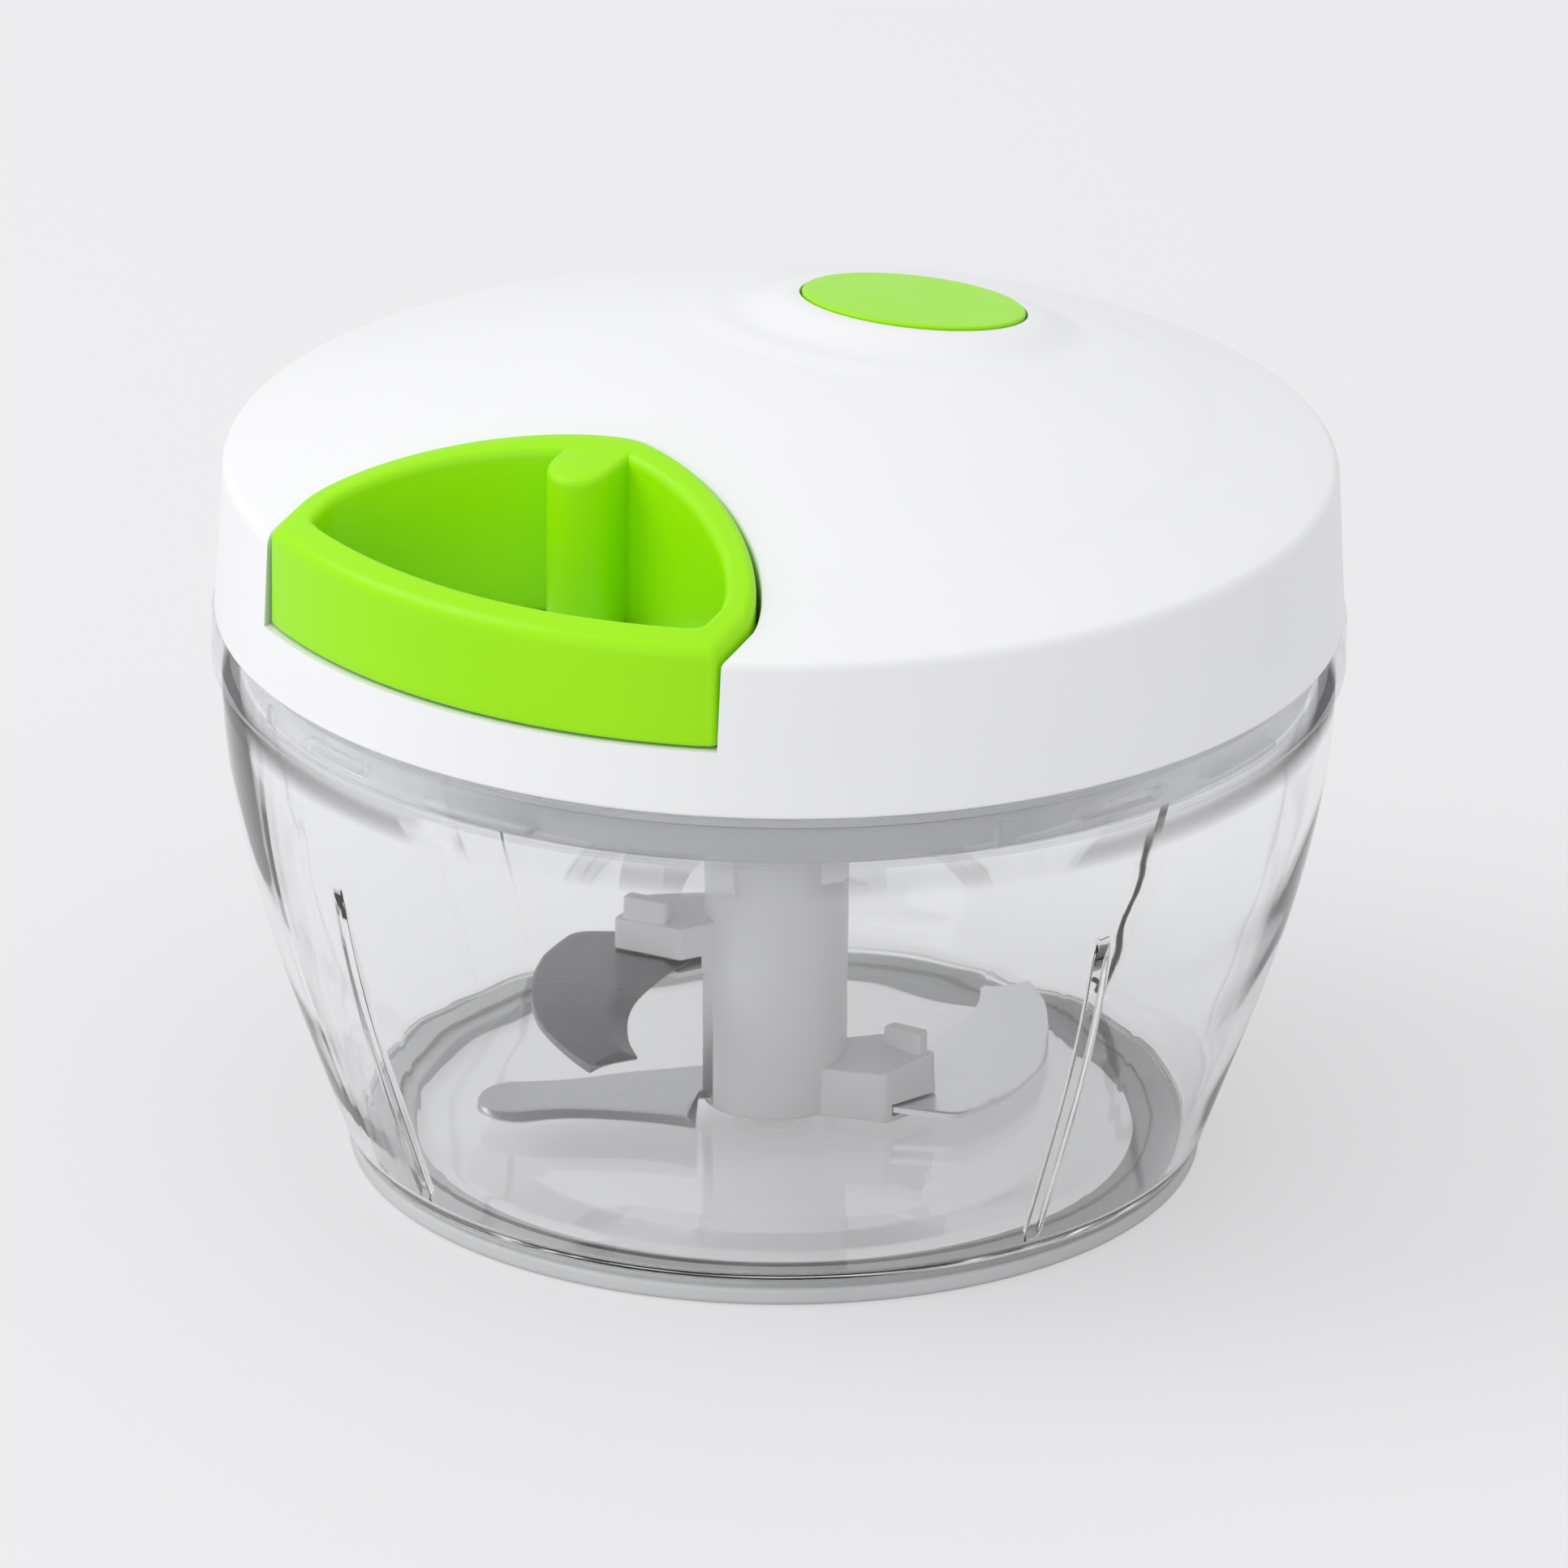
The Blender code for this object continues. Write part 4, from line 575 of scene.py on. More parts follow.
def makeShaft():
    radius, low, top = shaft["radius"], shaft["low"], shaft["top"]
    recess, recessTop = bowl["bossRadius"] + runGap, floorTop + bowl["bossHeight"] + runGap
    bore, boreTop = bowl["pinRadius"] + fit, floorTop + bowl["bossHeight"] + bowl["pinHeight"] + 2 * runGap
    body = lathe("bladeShaft", [(recess, low, 0.0003), (radius, low, 0.0006), (radius, top, 0.0007), (0, top, 0),
                                (0, boreTop, 0), (bore, boreTop, 0.0002), (bore, recessTop, 0.0002),
                                (recess, recessTop, 0.0002)], 96)
    play = driver["play"]
    radii = lobed(around(144), driver["core"] + fit, driver["lobe"] + fit, play, driver["lockTurn"] + play)
    carve(body, lobedPost("socketTool", radii, top - shaft["socketDepth"], top + runGap, 0.0002))
    half, start, inside = blade["halfRoot"], blade["rootRadius"], radius - 0.002
    side, length = half + fit + shaft["cheek"], shaft["bracketLength"]
    corner, heel = np.array((length, shaft["bracketCorner"])), np.array(blade["heel"])
    arm = roundCorners([(inside, -side, 0), (shaft["bracketSide"], -side, 0.0008), (*corner, 0.0008),
                        (*heel, 0.0006), (inside, half, 0)], steps=5)
    along = (heel - corner) / np.linalg.norm(heel - corner)
    inwards = np.array((-along[1], along[0]))
    near = corner + along * 2 * shaft["tabInset"] + inwards * shaft["tabInset"]
    far = near + along * shaft["tabLength"]
    deep = inwards * shaft["tabWidth"]
    tab = roundCorners([(*near, 0.0004), (*far, 0.0004), (*(far + deep), 0.0004), (*(near + deep), 0.0004)], steps=4)
    for name, height, turn in bladePlaces():
        low, high = height - fit, height + blade["thickness"] + fit
        matrix = Matrix.Rotation(turn, 4, "Z")
        slot = [(start - fit, -half - fit, 0), (radius + fit, -half - fit, 0), (radius + fit, half + fit, 0),
                (start - fit, half + fit, 0)]
        if name != "short_blade":
            bracket = shaft["bracketHeight"]
            for part, outline, base, crest in (("Arm", arm, low - shaft["lip"], high + bracket),
                                               ("Tab", tab, high + bracket / 2, height + shaft["tabHeight"])):
                carve(body, slab(name + part, outline, base, crest, 0.0003, matrix), "UNION")
            slot[1:3] = [(length + fit, -half - fit, 0), (length + fit, heel[1] + fit, 0),
                         (radius + fit, heel[1] + fit, 0), (radius + fit, half + fit, 0)]
        carve(body, slab(name + "Slot", roundCorners(slot), low, high, 0.00005, matrix))
    return settle(body, 35)


dress(makeShaft(), "blades", "shaft_plastic", "blade_shaft")


def ruledBlade(name, outer, inner, z, turn, paintedLight, bevel=0.18):
    # a plate ruled between its outer and inner edges; towards the inner edge both faces are ground
    # down to a thin lip over the last share of the width
    across = np.concatenate([[0, 0.02], np.linspace(0.04, 1 - bevel, 8), np.linspace(1 - bevel * 0.9, 1, 5)])
    flat = outer[:, None] * (1 - across[None, :, None]) + inner[:, None] * across[None, :, None]
    ground = np.clip((across - 1 + bevel) / bevel, 0, 1)
    thin = blade["thickness"] * (0.5 - 0.42 * ground)
    eased = blade["thickness"] * 0.12 * (across == 0)
    middle = z + blade["thickness"] / 2
    top, bottom = (np.concatenate([flat, np.broadcast_to(middle + side * (thin - eased), flat.shape[:2])[..., None]],
                                  -1) for side in (1, -1))
    loop = np.concatenate([top, bottom[:, ::-1]], 1)
    ends = [np.broadcast_to(loop[k].mean(0), (1, *loop.shape[1:])) for k in (0, -1)]
    mesh = gridMesh(name, np.concatenate([ends[0], loop, ends[1]]), wrapRows=False)
    # each blade's share of painted light: 0 keeps the painted shade, 1 gives the pale painted reflection
    mesh.attributes.new("paintedLight", "FLOAT", "POINT").data.foreach_set("value", np.full(len(mesh.vertices), paintedLight))
    return addPiece(name, mesh, Matrix.Rotation(turn, 4, "Z"), sharp=25)


def resample(points, count):
    # points evenly spaced along a line
    reach = np.concatenate([[0], np.cumsum(np.linalg.norm(np.diff(points, axis=0), axis=1))])
    even = np.linspace(0, reach[-1], count)
    return np.stack([np.interp(even, reach, points[:, k]) for k in range(points.shape[1])], -1)


def hookedBlade(name, z, turn, reach, paintedLight):
    # an arm that bends into a crescent: a round back, a hollow cutting edge and a hooked tip
    half, root = blade["halfRoot"], blade["rootRadius"]
    tip = (blade["belly"] - blade["tipInset"], reach)
    back = throughThree((blade["armLength"], half), (blade["belly"], reach / 2), tip, 40)
    elbow = roundCorners([(root, -half, 0), (blade["armLength"] - half, -half, 0.003), (*back[0], 0.002),
                          (*back[1], 0)], closed=False)[:-1]
    outer = np.concatenate([elbow, back[1:]])
    hook = np.array([(blade["belly"] - blade["hookInset"], reach - blade["hookDrop"]),
                     (blade["belly"] - blade["width"] - blade["hookOverhang"], reach - blade["hookFall"])])
    heel = blade["heel"]
    hollow = throughThree(heel, (blade["belly"] - blade["width"], reach * blade["hollowShare"]), tuple(hook[1]), 40)
    front = roundCorners([(root, half, 0), (shaft["radius"] + runGap, half, 0.001), (*heel, 0.001), (*hollow[1], 0)],
                         closed=False)[:-1]
    nose = roundCorners([(*hollow[-2], 0), (*hook[1], 0.0006), (*hook[0], 0.0008), (*tip, 0)], closed=False)[1:]
    inner = np.concatenate([front, hollow[1:-1], nose])
    return ruledBlade(name, resample(outer, 90), resample(inner, 90), z, turn, paintedLight)


def shortBlade(name, z, turn, paintedLight):
    # a straight blade with a hollow front edge and a round end
    width, length, root, half = blade["width"], blade["shortLength"], blade["rootRadius"], blade["halfRoot"]
    shoulder = (shaft["radius"] + blade["shortShoulder"], blade["shortHeel"])
    end = arcPoints(length - width / 2, width / 2, width / 2, -math.pi / 2, math.pi / 2, 25)
    back = np.concatenate([[(root, -half), (shaft["radius"] + runGap, -half)], end[:13]])
    hollow = throughThree(shoulder, (length * blade["hollowShare"], width - blade["shortHollow"]), tuple(end[-1]), 20)
    front = np.concatenate([[(root, half), (shaft["radius"] + runGap, half)], hollow[:-1], end[:12:-1]])
    return ruledBlade(name, resample(back, 70), resample(front, 70), z, turn, paintedLight)


# the upper blade gets painted shade (0), the lower one the painted reflection (1), the short one most of it (0.6)
dress(hookedBlade("upperBlade", blade["upper"], math.pi, blade["reach"] - blade["upperTrim"], 0.0), "blades",
      "blade_steel", "upper_blade")
dress(hookedBlade("lowerBlade", blade["lower"], blade["lowerTurn"], blade["reach"], 1.0), "blades", "blade_steel",
      "lower_blade")
dress(shortBlade("shortBlade", blade["lower"], math.pi, 0.6), "blades", "blade_steel", "short_blade")
print("blade unit made")


# lid

lid = {"low": 0.0663, "sideHeight": 0.0183, "setback": 0.0003, "taper": 0.0010, "wall": 0.0020, "fillet": 0.0022,
       "domeHeight": 0.0121, "screwRadius": 0.0520, "screwAngles": (-150, -75, 75, 150), "postRadius": 0.0036,
       "bossRadius": 0.0034, "post": 0.0706, "creaseRadius": 0.0485, "creaseDrop": 0.00012}
disc = {"offset": 0.0262, "radius": 0.0130, "thickness": 0.0016, "proud": 0.0004, "tilt": math.radians(9.5),
        "peg": 0.0030, "rise": 0.0010, "plateau": 0.0145, "plateauFoot": 0.0222, "plateauDrop": 0.0024}
cover = {"low": 0.0670, "thickness": 0.0015, "skirtLow": 0.0596, "skirtRadius": 0.0616, "skirtWall": 0.0016,
         "holeRadius": 0.0090, "lugRadius": 0.0630, "lugArc": math.radians(14), "lugTop": 0.0615,
         "lugHeight": 0.00075, "lugAzimuth": math.radians(325.6), "beadRise": 0.0023, "beadHeight": 0.0003}
lidRadius = collarRadius - lid["setback"]
shoulderRadius = lidRadius - lid["taper"]
shoulder = lid["low"] + lid["sideHeight"]
lidTop = shoulder + lid["domeHeight"]


def domeHeight(r):
    # a shallow paraboloid that ends at the shoulder
    return shoulder + lid["domeHeight"] * (1 - (r / shoulderRadius) ** 2)


discFrame = (frontFrame @ Matrix.Translation((-disc["offset"], 0, domeHeight(disc["offset"]) + disc["rise"]))
             @ Matrix.Rotation(-disc["tilt"], 4, "Y"))

handle = {"halfWidth": 0.0310, "back": 0.0280, "straight": 0.0500, "power": 1.5, "wall": 0.0040, "proud": 0.0013,
          "low": 0.0743, "edge": 0.0013, "lowEdge": 0.0005, "outerCorner": 0.0010, "innerCorner": 0.0046,
          "cordOffset": -0.0020, "bossOffset": -0.00245, "bossWidth": 0.0081, "bossReach": 0.0110,
          "tubWall": 0.0018, "tubFloor": 0.0016, "centre": 0.046}


def handlePlan(margin, front, corner, count=40):
    # half a superellipse at the back, straight sides, and a front that follows the lid; margin is how
    # far outside the handle's side the line lies
    half, depth = handle["halfWidth"] + margin, handle["straight"] - handle["back"] + margin
    a = np.linspace(-math.pi / 2, math.pi / 2, 2 * count + 1)
    power = 2 / handle["power"]
    back = np.stack([handle["straight"] - depth * np.abs(np.cos(a)) ** power,
                     half * np.sign(np.sin(a)) * np.abs(np.sin(a)) ** power], -1)
    swing = math.asin(half / front)
    face = arcPoints(0, 0, front, swing, -swing, 2 * count + 1)
    turnLeft = roundCorners([(*back[-1], 0), (*face[0], corner), (*face[2 * count // 5], 0)], closed=False)[1:-1]
    turnRight = turnLeft[::-1] * (1, -1)
    keep = np.abs(face[:, 1]) < turnLeft[-1, 1] - 1e-5
    return np.concatenate([back, turnLeft, face[keep], turnRight])


def polarRadius(outline, centre, angles):
    # the distance from a centre to the outline in each direction
    a = np.arctan2(outline[:, 1], outline[:, 0] - centre)
    r = np.hypot(outline[:, 1], outline[:, 0] - centre)
    order = np.argsort(a)
    return np.interp(angles, a[order], r[order], period=2 * math.pi)


def planAngles(centre, *outlines):
    # directions that meet every point of the outlines, so that no corner is cut
    a = np.concatenate([np.arctan2(line[:, 1], line[:, 0] - centre) for line in outlines])
    return np.unique(np.round(a, 4))


def planGrid(centre, angles, radius, z):
    x = centre + radius * np.cos(angles)
    return np.stack([x, radius * np.sin(angles), z + 0 * x], -1)


def makeLid():
    wall, low = lid["wall"], lid["low"]
    r = np.concatenate([np.linspace(0, shoulderRadius - 0.0032, 62), shoulderRadius - np.linspace(0.0028, 0.0024, 2)])
    top = np.stack([r, domeHeight(r)], -1)
    corner = roundCorners([(*top[-1], 0), (shoulderRadius, domeHeight(shoulderRadius), lid["fillet"]),
                           (lidRadius, low, 0.0004), (lidRadius - wall, low, 0.0004),
                           (shoulderRadius - wall, shoulder - wall - 0.0002, 0.0012)], closed=False, steps=10)[1:]
    under = np.stack([r, domeHeight(r) - wall], -1)[::-1]
    profile = np.concatenate([top, corner, under[2:]])[::-1]
    angles = around(256)
    grid = turned(profile, angles)
    outside = len(profile) - len(top) - len(corner) + 1
    sheet = grid[outside:]
    spot = np.array(discFrame.inverted())
    local = sheet @ spot[:3, :3].T + spot[:3, 3]
    reach = np.hypot(local[..., 0], local[..., 1])
    raised = -smoothStep(reach, disc["plateau"] - 0.001, disc["plateauFoot"]) * disc["plateauDrop"]
    lift = raised - local[..., 2]
    soft = 0.00035
    lift = np.where(reach < disc["plateauFoot"] + 0.006, (lift + np.sqrt(lift**2 + soft**2)) / 2 - soft / 2, 0)
    fade = 1 - smoothStep(reach, disc["plateauFoot"] - 0.001, disc["plateauFoot"] + 0.005)
    radial = np.hypot(sheet[..., 0], sheet[..., 1])
    crease = smoothStep(radial, lid["creaseRadius"], lid["creaseRadius"] + 0.0015)
    crease = crease * (1 - smoothStep(radial, 0.056, 0.063)) * lid["creaseDrop"]
    sheet[..., 2] += np.clip(lift, 0, None) * fade - crease
    body = addPiece("lidShell", gridMesh("lidShell", grid))
    centre = handle["centre"]
    front = lidRadius + wall
    plan = handlePlan(runGap + handle["tubWall"], front, 0.0012)
    angleList = planAngles(centre, plan)
    radii = polarRadius(plan, centre, angleList)
    floorLow = handle["low"] - fit - handle["tubFloor"]
    heights = [(0, floorLow), (1, floorLow), (1, lidTop), (0, lidTop)]
    grid = np.stack([planGrid(centre, angleList, radii * share, z) for share, z in heights])
    tub = addPiece("tubTool", gridMesh("tubTool", grid, wrapRows=False), frontFrame)
    core = np.concatenate([[(0, low)], np.stack([profile[outside:, 0] * (1 - wall / 2 / lidRadius),
                                                 profile[outside:, 1] - wall / 2], -1)])
    core[1, 1] = low
    coreTool = addPiece("coreTool", gridMesh("coreTool", turned(core, angles)))
    carve(tub, coreTool, "INTERSECT")
    settle(tub)
    carve(body, tub, "UNION")
    postTop = lidTop - wall / 2
    hole = 0.0017
    screwHole = 0.0103
    for k, (radius, turn, distance, base) in enumerate(
            [(lid["postRadius"], 0, 0, lid["post"])]
            + [(lid["bossRadius"], turn, lid["screwRadius"], cover["low"] + cover["thickness"] + fit)
               for turn in lid["screwAngles"]]):
        high = postTop if distance == 0 else domeHeight(distance + radius) - wall / 2
        spotMatrix = frontFrame @ Matrix.Rotation(math.radians(turn), 4, "Z") @ Matrix.Translation((distance, 0, 0))
        post = lathe(f"post{k}", [(hole, base, 0.0001), (radius, base, 0.0002), (radius, high, 0), (0, high, 0),
                                  (0, base + screwHole, 0), (hole, base + screwHole, 0)], 40, 3, spotMatrix)
        carve(body, post, "UNION")
    flare = 0.0005                                 # the recess's mouth opens by this much over its edge
    plan = handlePlan(runGap, front, 0.0010)
    angleList = planAngles(centre, plan)
    radii = polarRadius(plan, centre, angleList)
    x, y = centre + radii * np.cos(angleList), radii * np.sin(angleList)
    mouth = domeHeight(np.hypot(x, y))
    a = np.linspace(0, math.pi / 2, 6)
    rows = [planGrid(centre, angleList, 0 * radii, handle["low"] - fit),
            planGrid(centre, angleList, radii, handle["low"] - fit)]
    rows += [planGrid(centre, angleList, radii + flare * (1 - math.cos(t)), mouth - flare * (1 - math.sin(t)))
             for t in a]
    rows += [planGrid(centre, angleList, radii + flare * 1.4, mouth + 0.004),
             planGrid(centre, angleList, 0 * radii, lidTop + 0.004)]
    carve(body, addPiece("recessTool", gridMesh("recessTool", np.stack(rows), wrapRows=False), frontFrame))
    along = guideFrame()
    back = handle["back"] - runGap - handle["tubWall"]
    carve(body, lathe("guideHole", [(0, back - 0.001, 0), (0.0024, back - 0.001, 0), (0.0024, back + 0.003, 0),
                                    (0, back + 0.003, 0)], 40, 2, along))
    rim, peg = disc["radius"] + fit, disc["peg"] + fit
    pocket = disc["proud"] - disc["thickness"] - fit
    carve(body, lathe("pocketTool", [(0, pocket, 0), (rim, pocket, 0.0001), (rim, -0.0002, 0),
                                     (rim + 0.0003, 0.0003, 0), (rim + 0.0003, wall, 0), (0, wall, 0)],
                      128, 3, discFrame))
    carve(body, lathe("pegTool", [(0, -3 * wall, 0), (peg, -3 * wall, 0), (peg, 0, 0), (0, 0, 0)], 48, 2, discFrame))
    return settle(body, 30)


cord = {"diameter": 0.0016, "height": 0.08015, "pathRadius": 0.0191, "pitch": 0.00205, "turns": 3,
        "guideBore": 0.0012, "guideWall": 0.0009, "guideFlange": 0.0011, "guideFlangeThickness": 0.0008,
        "knotRadius": 0.0022}


def guideFrame():
    # the line of the cord: Z of the lathe turned onto the handle's pull
    return (frontFrame @ Matrix.Translation((0, handle["cordOffset"], cord["height"]))
            @ Matrix.Rotation(math.pi / 2, 4, "Y"))


dress(makeLid(), "lid", "white_plastic", "lid_shell")


def makeDisc():
    # a shallow crown, z = proud - crown (r / R)^2, with a rounded edge, and a peg below
    low = disc["proud"] - disc["thickness"]
    r = np.linspace(0, disc["radius"] - 0.0008, 14)
    crown = [(x, disc["proud"] - 0.00018 * (x / disc["radius"]) ** 2, 0) for x in r[1:]][::-1]
    corners = [(0, low - lid["wall"], 0), (disc["peg"], low - lid["wall"], 0.0004), (disc["peg"], low, 0.0002),
               (disc["radius"], low, 0.0002), (disc["radius"], disc["proud"] - 0.0002, 0.0004), *crown,
               (0, disc["proud"], 0)]
    return lathe("lidDisc", corners, 160, matrix=discFrame)


dress(makeDisc(), "lid", "green_plastic", "lid_disc")


def makeCover():
    low, top = cover["low"], cover["low"] + cover["thickness"]
    skirt, wall, bottom = cover["skirtRadius"], cover["skirtWall"], cover["skirtLow"]
    flange = lidRadius - lid["wall"] - fit
    lugLow, lugTop = cover["lugTop"] - cover["lugHeight"], cover["lugTop"]
    bead = lugTop + cover["beadRise"]
    beadTop = bead + cover["beadHeight"]
    side = [(skirt, z, 0) for z in (lugLow - 0.00004, lugLow, lugTop - 0.0001, lugTop, lugTop + 0.00004)]
    corners = [(cover["holeRadius"], low, 0.0003), (skirt - wall, low, 0.0012), (skirt - wall, bottom, 0.0004),
               (skirt, bottom, 0.0004), *side, (skirt, bead, 0.0001), (skirt + runGap, bead, 0.0001),
               (skirt + runGap, beadTop, 0.0001), (skirt, beadTop, 0.0001), (skirt, low, 0.0002),
               (flange, low, 0.0003), (flange, top, 0.0003), (cover["holeRadius"], top, 0.0003)]
    profile = roundCorners(corners)
    fold = math.pi / 2
    atLugs = [cover["lugAzimuth"] + k * fold + np.radians(np.linspace(-8, 8, 33)) for k in range(4)]
    angles = np.unique(np.round(np.concatenate([around(200)] + atLugs) % (2 * math.pi), 5))
    grid = turned(profile, angles)
    away = np.abs((angles - cover["lugAzimuth"] + fold / 2) % fold - fold / 2)
    inLug = 1 - smoothStep(away, cover["lugArc"] / 2 - 0.006, cover["lugArc"] / 2)
    onRow = (np.abs(profile[:, 0] - skirt) < 2e-5) & (profile[:, 1] > lugLow - 0.00002) & (profile[:, 1] <= lugTop)
    growth = 1 + inLug * onRow[:, None] * (cover["lugRadius"] / skirt - 1)
    grid[..., :2] *= growth[..., None]
    return addPiece("lidCover", gridMesh("lidCover", grid))


dress(makeCover(), "lid", "white_plastic", "lid_cover", finish="skirt_painted_shade")


def makeSeal():
    low, high = (corner.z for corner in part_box("sealing_ring"))
    inner, outer = cover["skirtRadius"] + fit, collarInner - fit
    return lathe("sealingRing", [(inner, low, 0.0001), (outer, low, 0.0003), (outer, high, 0.0003),
                                 (inner, high, 0.0001)])


dress(makeSeal(), "seal", "soft_ring", "sealing_ring")
print("lid made")


# handle

def makeHandle():
    # in each direction from a point in the loop, a rounded section runs from the outer line to the
    # inner one, and its top follows the dome
    centre = handle["centre"]
    outer = handlePlan(0.0, shoulderRadius, handle["outerCorner"])
    inner = handlePlan(-handle["wall"], shoulderRadius - handle["wall"], handle["innerCorner"])
    angles = planAngles(centre, outer, inner)
    ro, ri = polarRadius(outer, centre, angles), polarRadius(inner, centre, angles)
    width = ro - ri

    def rise(radius):
        return domeHeight(np.hypot(centre + radius * np.cos(angles), radius * np.sin(angles))) + handle["proud"]

    rows = []
    a = np.linspace(0, math.pi / 2, 7)
    edge, low, foot = handle["edge"], handle["low"], handle["lowEdge"]
    for t in a[::2]:
        rows.append((ro - foot * (1 - math.sin(t)), low + foot * (1 - math.cos(t))))
    for z in (0.15, 0.5, 0.85):
        rows.append((ro, low + (rise(ro) - edge - low) * z))
    for t in a:
        r = ro - edge * (1 - math.cos(t))
        rows.append((r, rise(r) - edge * (1 - math.sin(t))))
    for share in (0.15, 0.5, 0.85):
        r = ro - edge - (width - 2 * edge) * share
        rows.append((r, rise(r)))
    for t in a[::-1]:
        r = ri + edge * (1 - math.cos(t))
        rows.append((r, rise(r) - edge * (1 - math.sin(t))))
    for z in (0.85, 0.5, 0.15):
        rows.append((ri, low + (rise(ri) - edge - low) * z))
    for t in a[::-2]:
        rows.append((ri + foot * (1 - math.sin(t)), low + foot * (1 - math.cos(t))))
    grid = np.stack([planGrid(centre, angles, r, z) for r, z in rows])
    body = addPiece("pullHandle", gridMesh("pullHandle", grid), frontFrame)
    middle, half = handle["bossOffset"], handle["bossWidth"] / 2
    reach = handle["back"] + handle["bossReach"] + fit
    nose = arcPoints(reach - half, middle, half, -math.pi / 2, math.pi / 2, 25)
    start = handle["back"] + 0.002
    plan = np.concatenate([[(start, middle + half), (start, middle - half)], nose])
    middlePoint = np.array((handle["back"] + 0.0055, middle))
    reachOut = plan - middlePoint

    def inwards(inset):
        return middlePoint + reachOut * np.maximum(1 - inset / np.linalg.norm(reachOut, axis=1), 0)[:, None]

    bossRows = []
    under, over = 0.0008, edge * 0.7                # the edges' radii, below and above
    for inset, drop in [(1, 0.0)] + [(under * (1 - math.sin(t)), under * (1 - math.cos(t))) for t in a]:
        point = inwards(inset)
        bossRows.append(np.column_stack([point, np.full(len(point), low + fit + drop)]))
    for inset, drop in [(over * (1 - math.cos(t)), over * (1 - math.sin(t))) for t in a] + [(1, 0.0)]:
        point = inwards(inset)
        top = domeHeight(np.hypot(point[:, 0], point[:, 1])) + handle["proud"] - 0.00005 - drop
        bossRows.append(np.column_stack([point, top]))
    grid = np.stack(bossRows)
    carve(body, addPiece("bossTool", gridMesh("bossTool", grid, wrapRows=False), frontFrame), "UNION")
    knot = knotPlace()
    pocket, mouth = cord["knotRadius"] + 2 * fit, low - 0.001
    carve(body, lathe("knotPocket", [(0, mouth, 0), (pocket, mouth, 0), (pocket, cord["height"] + pocket, 0.0006),
                                     (0, cord["height"] + pocket, 0)], 48, 4,
                      frontFrame @ Matrix.Translation((knot[0], knot[1], 0))))
    hole = cord["diameter"] / 2 + fit
    back = handle["back"]
    carve(body, lathe("cordHole", [(0, back - 0.001, 0), (hole + 0.0008, back - 0.001, 0),
                                   (hole, back + 0.0006, 0.0003), (hole, knot[0], 0), (0, knot[0], 0)],
                      32, 3, guideFrame()))
    return settle(body, 38)


def knotPlace():
    return (handle["back"] + handle["wall"] + handle["bossReach"] / 3, handle["cordOffset"], cord["height"])


dress(makeHandle(), "handle", "green_plastic", "pull_handle")
print("handle made")


# cord

def addCord(name, path, sides=14, matrix=None):
    # a tube with a UV map: u runs along it and v round it, so that the braid follows it
    grid = tubeGrid(path, cord["diameter"] / 2, sides)
    mesh = gridMesh(name, grid, wrapRows=False)
    piece = addPiece(name, mesh)
    weave = mesh.uv_layers.new(name="weave")
    corner = np.zeros(len(mesh.loops), np.int32)
    mesh.loops.foreach_get("vertex_index", corner)
    co = np.zeros(len(mesh.vertices) * 3, np.float32)
    mesh.vertices.foreach_get("co", co)
    co = co.reshape(-1, 3)
    reach = np.concatenate([[0], np.cumsum(np.linalg.norm(np.diff(path, axis=0), axis=1))])
    ring = np.clip((np.arange(len(co)) - 1) // sides, 0, len(path) - 1)
    turn = ((np.arange(len(co)) - 1) % sides) / sides
    u, v = reach[ring][corner], turn[corner]
    starts = np.zeros(len(mesh.polygons), np.int32)
    mesh.polygons.foreach_get("loop_start", starts)
    owner = np.repeat(np.arange(len(starts)), np.diff(np.append(starts, len(corner))))
    widest = np.zeros(len(starts))
    np.maximum.at(widest, owner, v)
    v = np.where((widest[owner] > 0.75) & (v < 0.25), v + 1, v)
    weave.data.foreach_set("uv", np.stack([u, v], -1).astype(np.float32).ravel())
    if matrix is not None:
        mesh.transform(matrix)
    return piece


def makeCords():
    guideMouth = handle["back"] - runGap - handle["tubWall"] - fit - cord["guideFlangeThickness"]
    radius = cord["pathRadius"]
    distance = math.hypot(guideMouth, handle["cordOffset"])
    leave = math.atan2(handle["cordOffset"], guideMouth) + math.acos(radius / distance)
    steps = 48 * cord["turns"]
    k = np.arange(steps, -1, -1)
    a = leave + 2 * math.pi * k / 48
    wound = np.stack([radius * np.cos(a), radius * np.sin(a), cord["height"] - cord["pitch"] * k / 48], -1)
    heading = np.array((math.sin(leave), -math.cos(leave), 0))
    start = np.array((radius * math.cos(leave), radius * math.sin(leave), cord["height"]))
    tail = math.sqrt((radius + cord["diameter"]) ** 2 - radius**2)
    leaving = start + heading * np.linspace(0, tail, 8)[1:, None]
    dress(addCord("cordWinding", np.concatenate([wound, leaving]), matrix=frontFrame), "spool", "cord",
          "cord_winding")
    first = start + heading * (tail + 3 * fit)
    last = np.array((guideMouth - fit, handle["cordOffset"], cord["height"]))
    bend = last - (cord["diameter"], 0, 0)
    t = np.linspace(0, 1, 24)[:, None]
    run = first * (1 - t) ** 2 + bend * 2 * t * (1 - t) + last * t * t
    dress(addCord("cordRun", run, matrix=frontFrame), "lid", "cord", "cord_run")
    knot = knotPlace()
    x = np.linspace(guideMouth + fit, knot[0] - cord["knotRadius"] * 0.5, 60)
    lead = np.stack([x, np.full(60, knot[1]), np.full(60, knot[2])], -1)
    pull = addCord("pullCord", lead, matrix=frontFrame)
    pull.data.materials.append(finishes["cord"].material)
    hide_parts("cord_lead")
    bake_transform(pull)
    return knot


